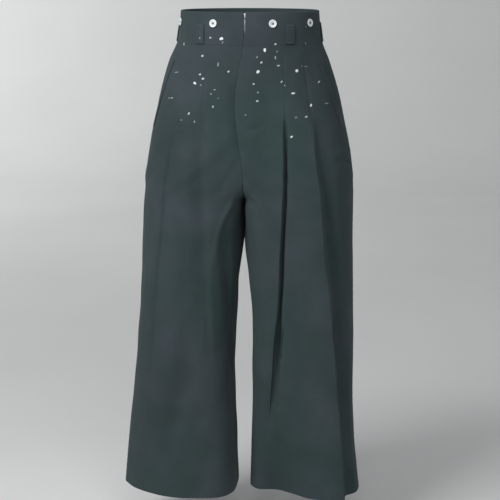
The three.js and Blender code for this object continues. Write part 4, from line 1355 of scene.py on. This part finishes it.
# Finishes, with the dark, middle and pale tones of the zip tape and the threads
cloth_finish = twill("slate twill")
tape_finish = twill("zip tape weave", (0.018, 0.022, 0.024), (0.022, 0.027, 0.029), (0.028, 0.034, 0.036))
plastic_finish = moulded_plastic("white button")
metal_finish = zip_metal("zip metal")
thread_finish = spun_thread("slate thread", (0.035, 0.045, 0.048), (0.075, 0.09, 0.095))
button_thread_finish = spun_thread("button thread", (0.02, 0.024, 0.026), (0.05, 0.058, 0.06))
paint_finish = dried_paint("dried white paint")

# Everything of the trousers
panels = {}
for leg in LEGS.values():
    for face in ("front", "back"):
        panels[(leg["name"], face)] = panel(leg, face, cloth_finish)
bands = {name: waistband(leg, cloth_finish) for name, leg in LEGS.items()}
loops = belt_loops(cloth_finish) | {"belt_loop_back": back_loop(cloth_finish)}
welts = {name: pocket_edge(leg, cloth_finish) for name, leg in LEGS.items()}
tape = zip_tape(tape_finish)
button_pieces, button_thread = buttons(plastic_finish, button_thread_finish)
slider = zip_slider(metal_finish)

stitches = stitch_tree()
topstitch = stitched("topstitching", topstitch_courses(), stitches, thread_finish,
                     spacing=3.3, length=2.6, thickness=0.5, seed=3)
tacks = stitched("bar_tacks", tack_courses(), stitches, thread_finish,
                 spacing=0.75, length=0.9, thickness=1.1, seed=5)
teeth = stitched("zip_teeth", [teeth_course(-1), teeth_course(1)], stitches, metal_finish,
                 spacing=TOOTH_PITCH, length=1.15, thickness=1.9, seed=7)
painted = [panels[("left", "front")], panels[("right", "front")], *bands.values(), *loops.values()]
flecks = paint_flecks(painted, paint_finish)

# What each piece stands for, and the body that it rides on
for (name, face), piece in panels.items():
    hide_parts(f"{face}_{name}")
for name, piece in bands.items():
    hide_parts(f"waistband_{name}")
for name, piece in welts.items():
    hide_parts(f"pocket_edge_{name}")
for node, piece in [*loops.items(), *button_pieces.items()]:
    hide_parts(node)
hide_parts("zip_tape")
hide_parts("zip_slider")

cloth_pieces = [*panels.values(), *bands.values(), *loops.values(), *welts.values()]
for piece in [*button_pieces.values(), flecks]:
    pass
small_pieces = [tape, slider, teeth, topstitch, tacks, button_thread, flecks]
for piece in [*cloth_pieces, *button_pieces.values(), *small_pieces]:
    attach(piece, "root")

# Floor, light and camera
FLOOR_HEIGHT = -1.03
FLOOR_FRONT = -9
FLOOR_BACK = 4.5
SWEEP_RADIUS = 2.2
SWEEP_STEPS = 24
WALL_TOP = 6
FLOOR_HALF_WIDTH = 11


# A floor that sweeps up into a wall, well behind any view of the trousers
def stage_floor():
    section = [(FLOOR_FRONT, FLOOR_HEIGHT), (FLOOR_BACK, FLOOR_HEIGHT)]
    for step in range(1, SWEEP_STEPS + 1):
        turn = 0.5 * math.pi * step / SWEEP_STEPS
        section.append((FLOOR_BACK + SWEEP_RADIUS * math.sin(turn),
                        FLOOR_HEIGHT + SWEEP_RADIUS * (1 - math.cos(turn))))
    section.append((FLOOR_BACK + SWEEP_RADIUS, WALL_TOP))
    corners = [(side * FLOOR_HALF_WIDTH / MM, y / MM, z / MM) for y, z in section for side in (-1, 1)]
    faces = [(2 * i, 2 * i + 1, 2 * i + 3, 2 * i + 2) for i in range(len(section) - 1)]
    make_object("floor", corners, faces, pale_floor("pale floor"))


def soft_light(name, place, aim, width, height, power, colour):
    data = bpy.data.lights.new(name, "AREA")
    data.shape = "RECTANGLE"
    data.size = width
    data.size_y = height
    data.energy = power
    data.color = colour
    lamp = bpy.data.objects.new(name, data)
    lamp.location = place
    lamp.rotation_euler = (Vector(aim) - Vector(place)).to_track_quat("-Z", "Y").to_euler()
    lamp.visible_camera = False
    bpy.context.scene.collection.objects.link(lamp)


# Lamps: name, place, point that they face, width, height, power and colour
LAMPS = [
    ("window", (-1.1, -1.45, 1.5), (0, 0, 0.1), 1.1, 1.1, 50, (0.97, 0.99, 1.0)),
    ("front fill", (0.6, -2.6, 1.3), (0, 0, -0.2), 1.5, 1.5, 20, (1.0, 1.0, 1.0)),
    ("wall wash", (-4.6, 2.6, 1.6), (-3.2, 6.7, 0.4), 2.0, 2.4, 150, (0.99, 1.0, 1.0)),
]
ROOM_STRENGTH = 0.27
ROOM_COLOUR = (0.95, 0.97, 1.0)


def room_light():
    world = bpy.data.worlds.new("room")
    world.use_nodes = True
    background = world.node_tree.nodes["Background"]
    background.inputs["Color"].default_value = (*ROOM_COLOUR, 1)
    background.inputs["Strength"].default_value = ROOM_STRENGTH
    bpy.context.scene.world = world


VIEW_AZIMUTH = math.radians(5)
VIEW_ELEVATION = math.radians(11)
VIEW_DISTANCE = 3.1
VIEW_AIM = Vector((0, 0, -0.455))
LENS = 111.6
SENSOR = 36


def view_camera():
    back = Vector((
        math.sin(VIEW_AZIMUTH) * math.cos(VIEW_ELEVATION),
        -math.cos(VIEW_AZIMUTH) * math.cos(VIEW_ELEVATION),
        math.sin(VIEW_ELEVATION),
    ))
    data = bpy.data.cameras.new("camera")
    data.lens = LENS
    data.sensor_width = SENSOR
    data.sensor_fit = "HORIZONTAL"
    camera = bpy.data.objects.new("camera", data)
    camera.location = VIEW_AIM + back * VIEW_DISTANCE
    camera.rotation_euler = (-back).to_track_quat("-Z", "Y").to_euler()
    bpy.context.scene.collection.objects.link(camera)
    bpy.context.scene.camera = camera


stage_floor()
for lamp in LAMPS:
    soft_light(*lamp)
room_light()
view_camera()
bpy.context.scene.view_settings.view_transform = "Standard"
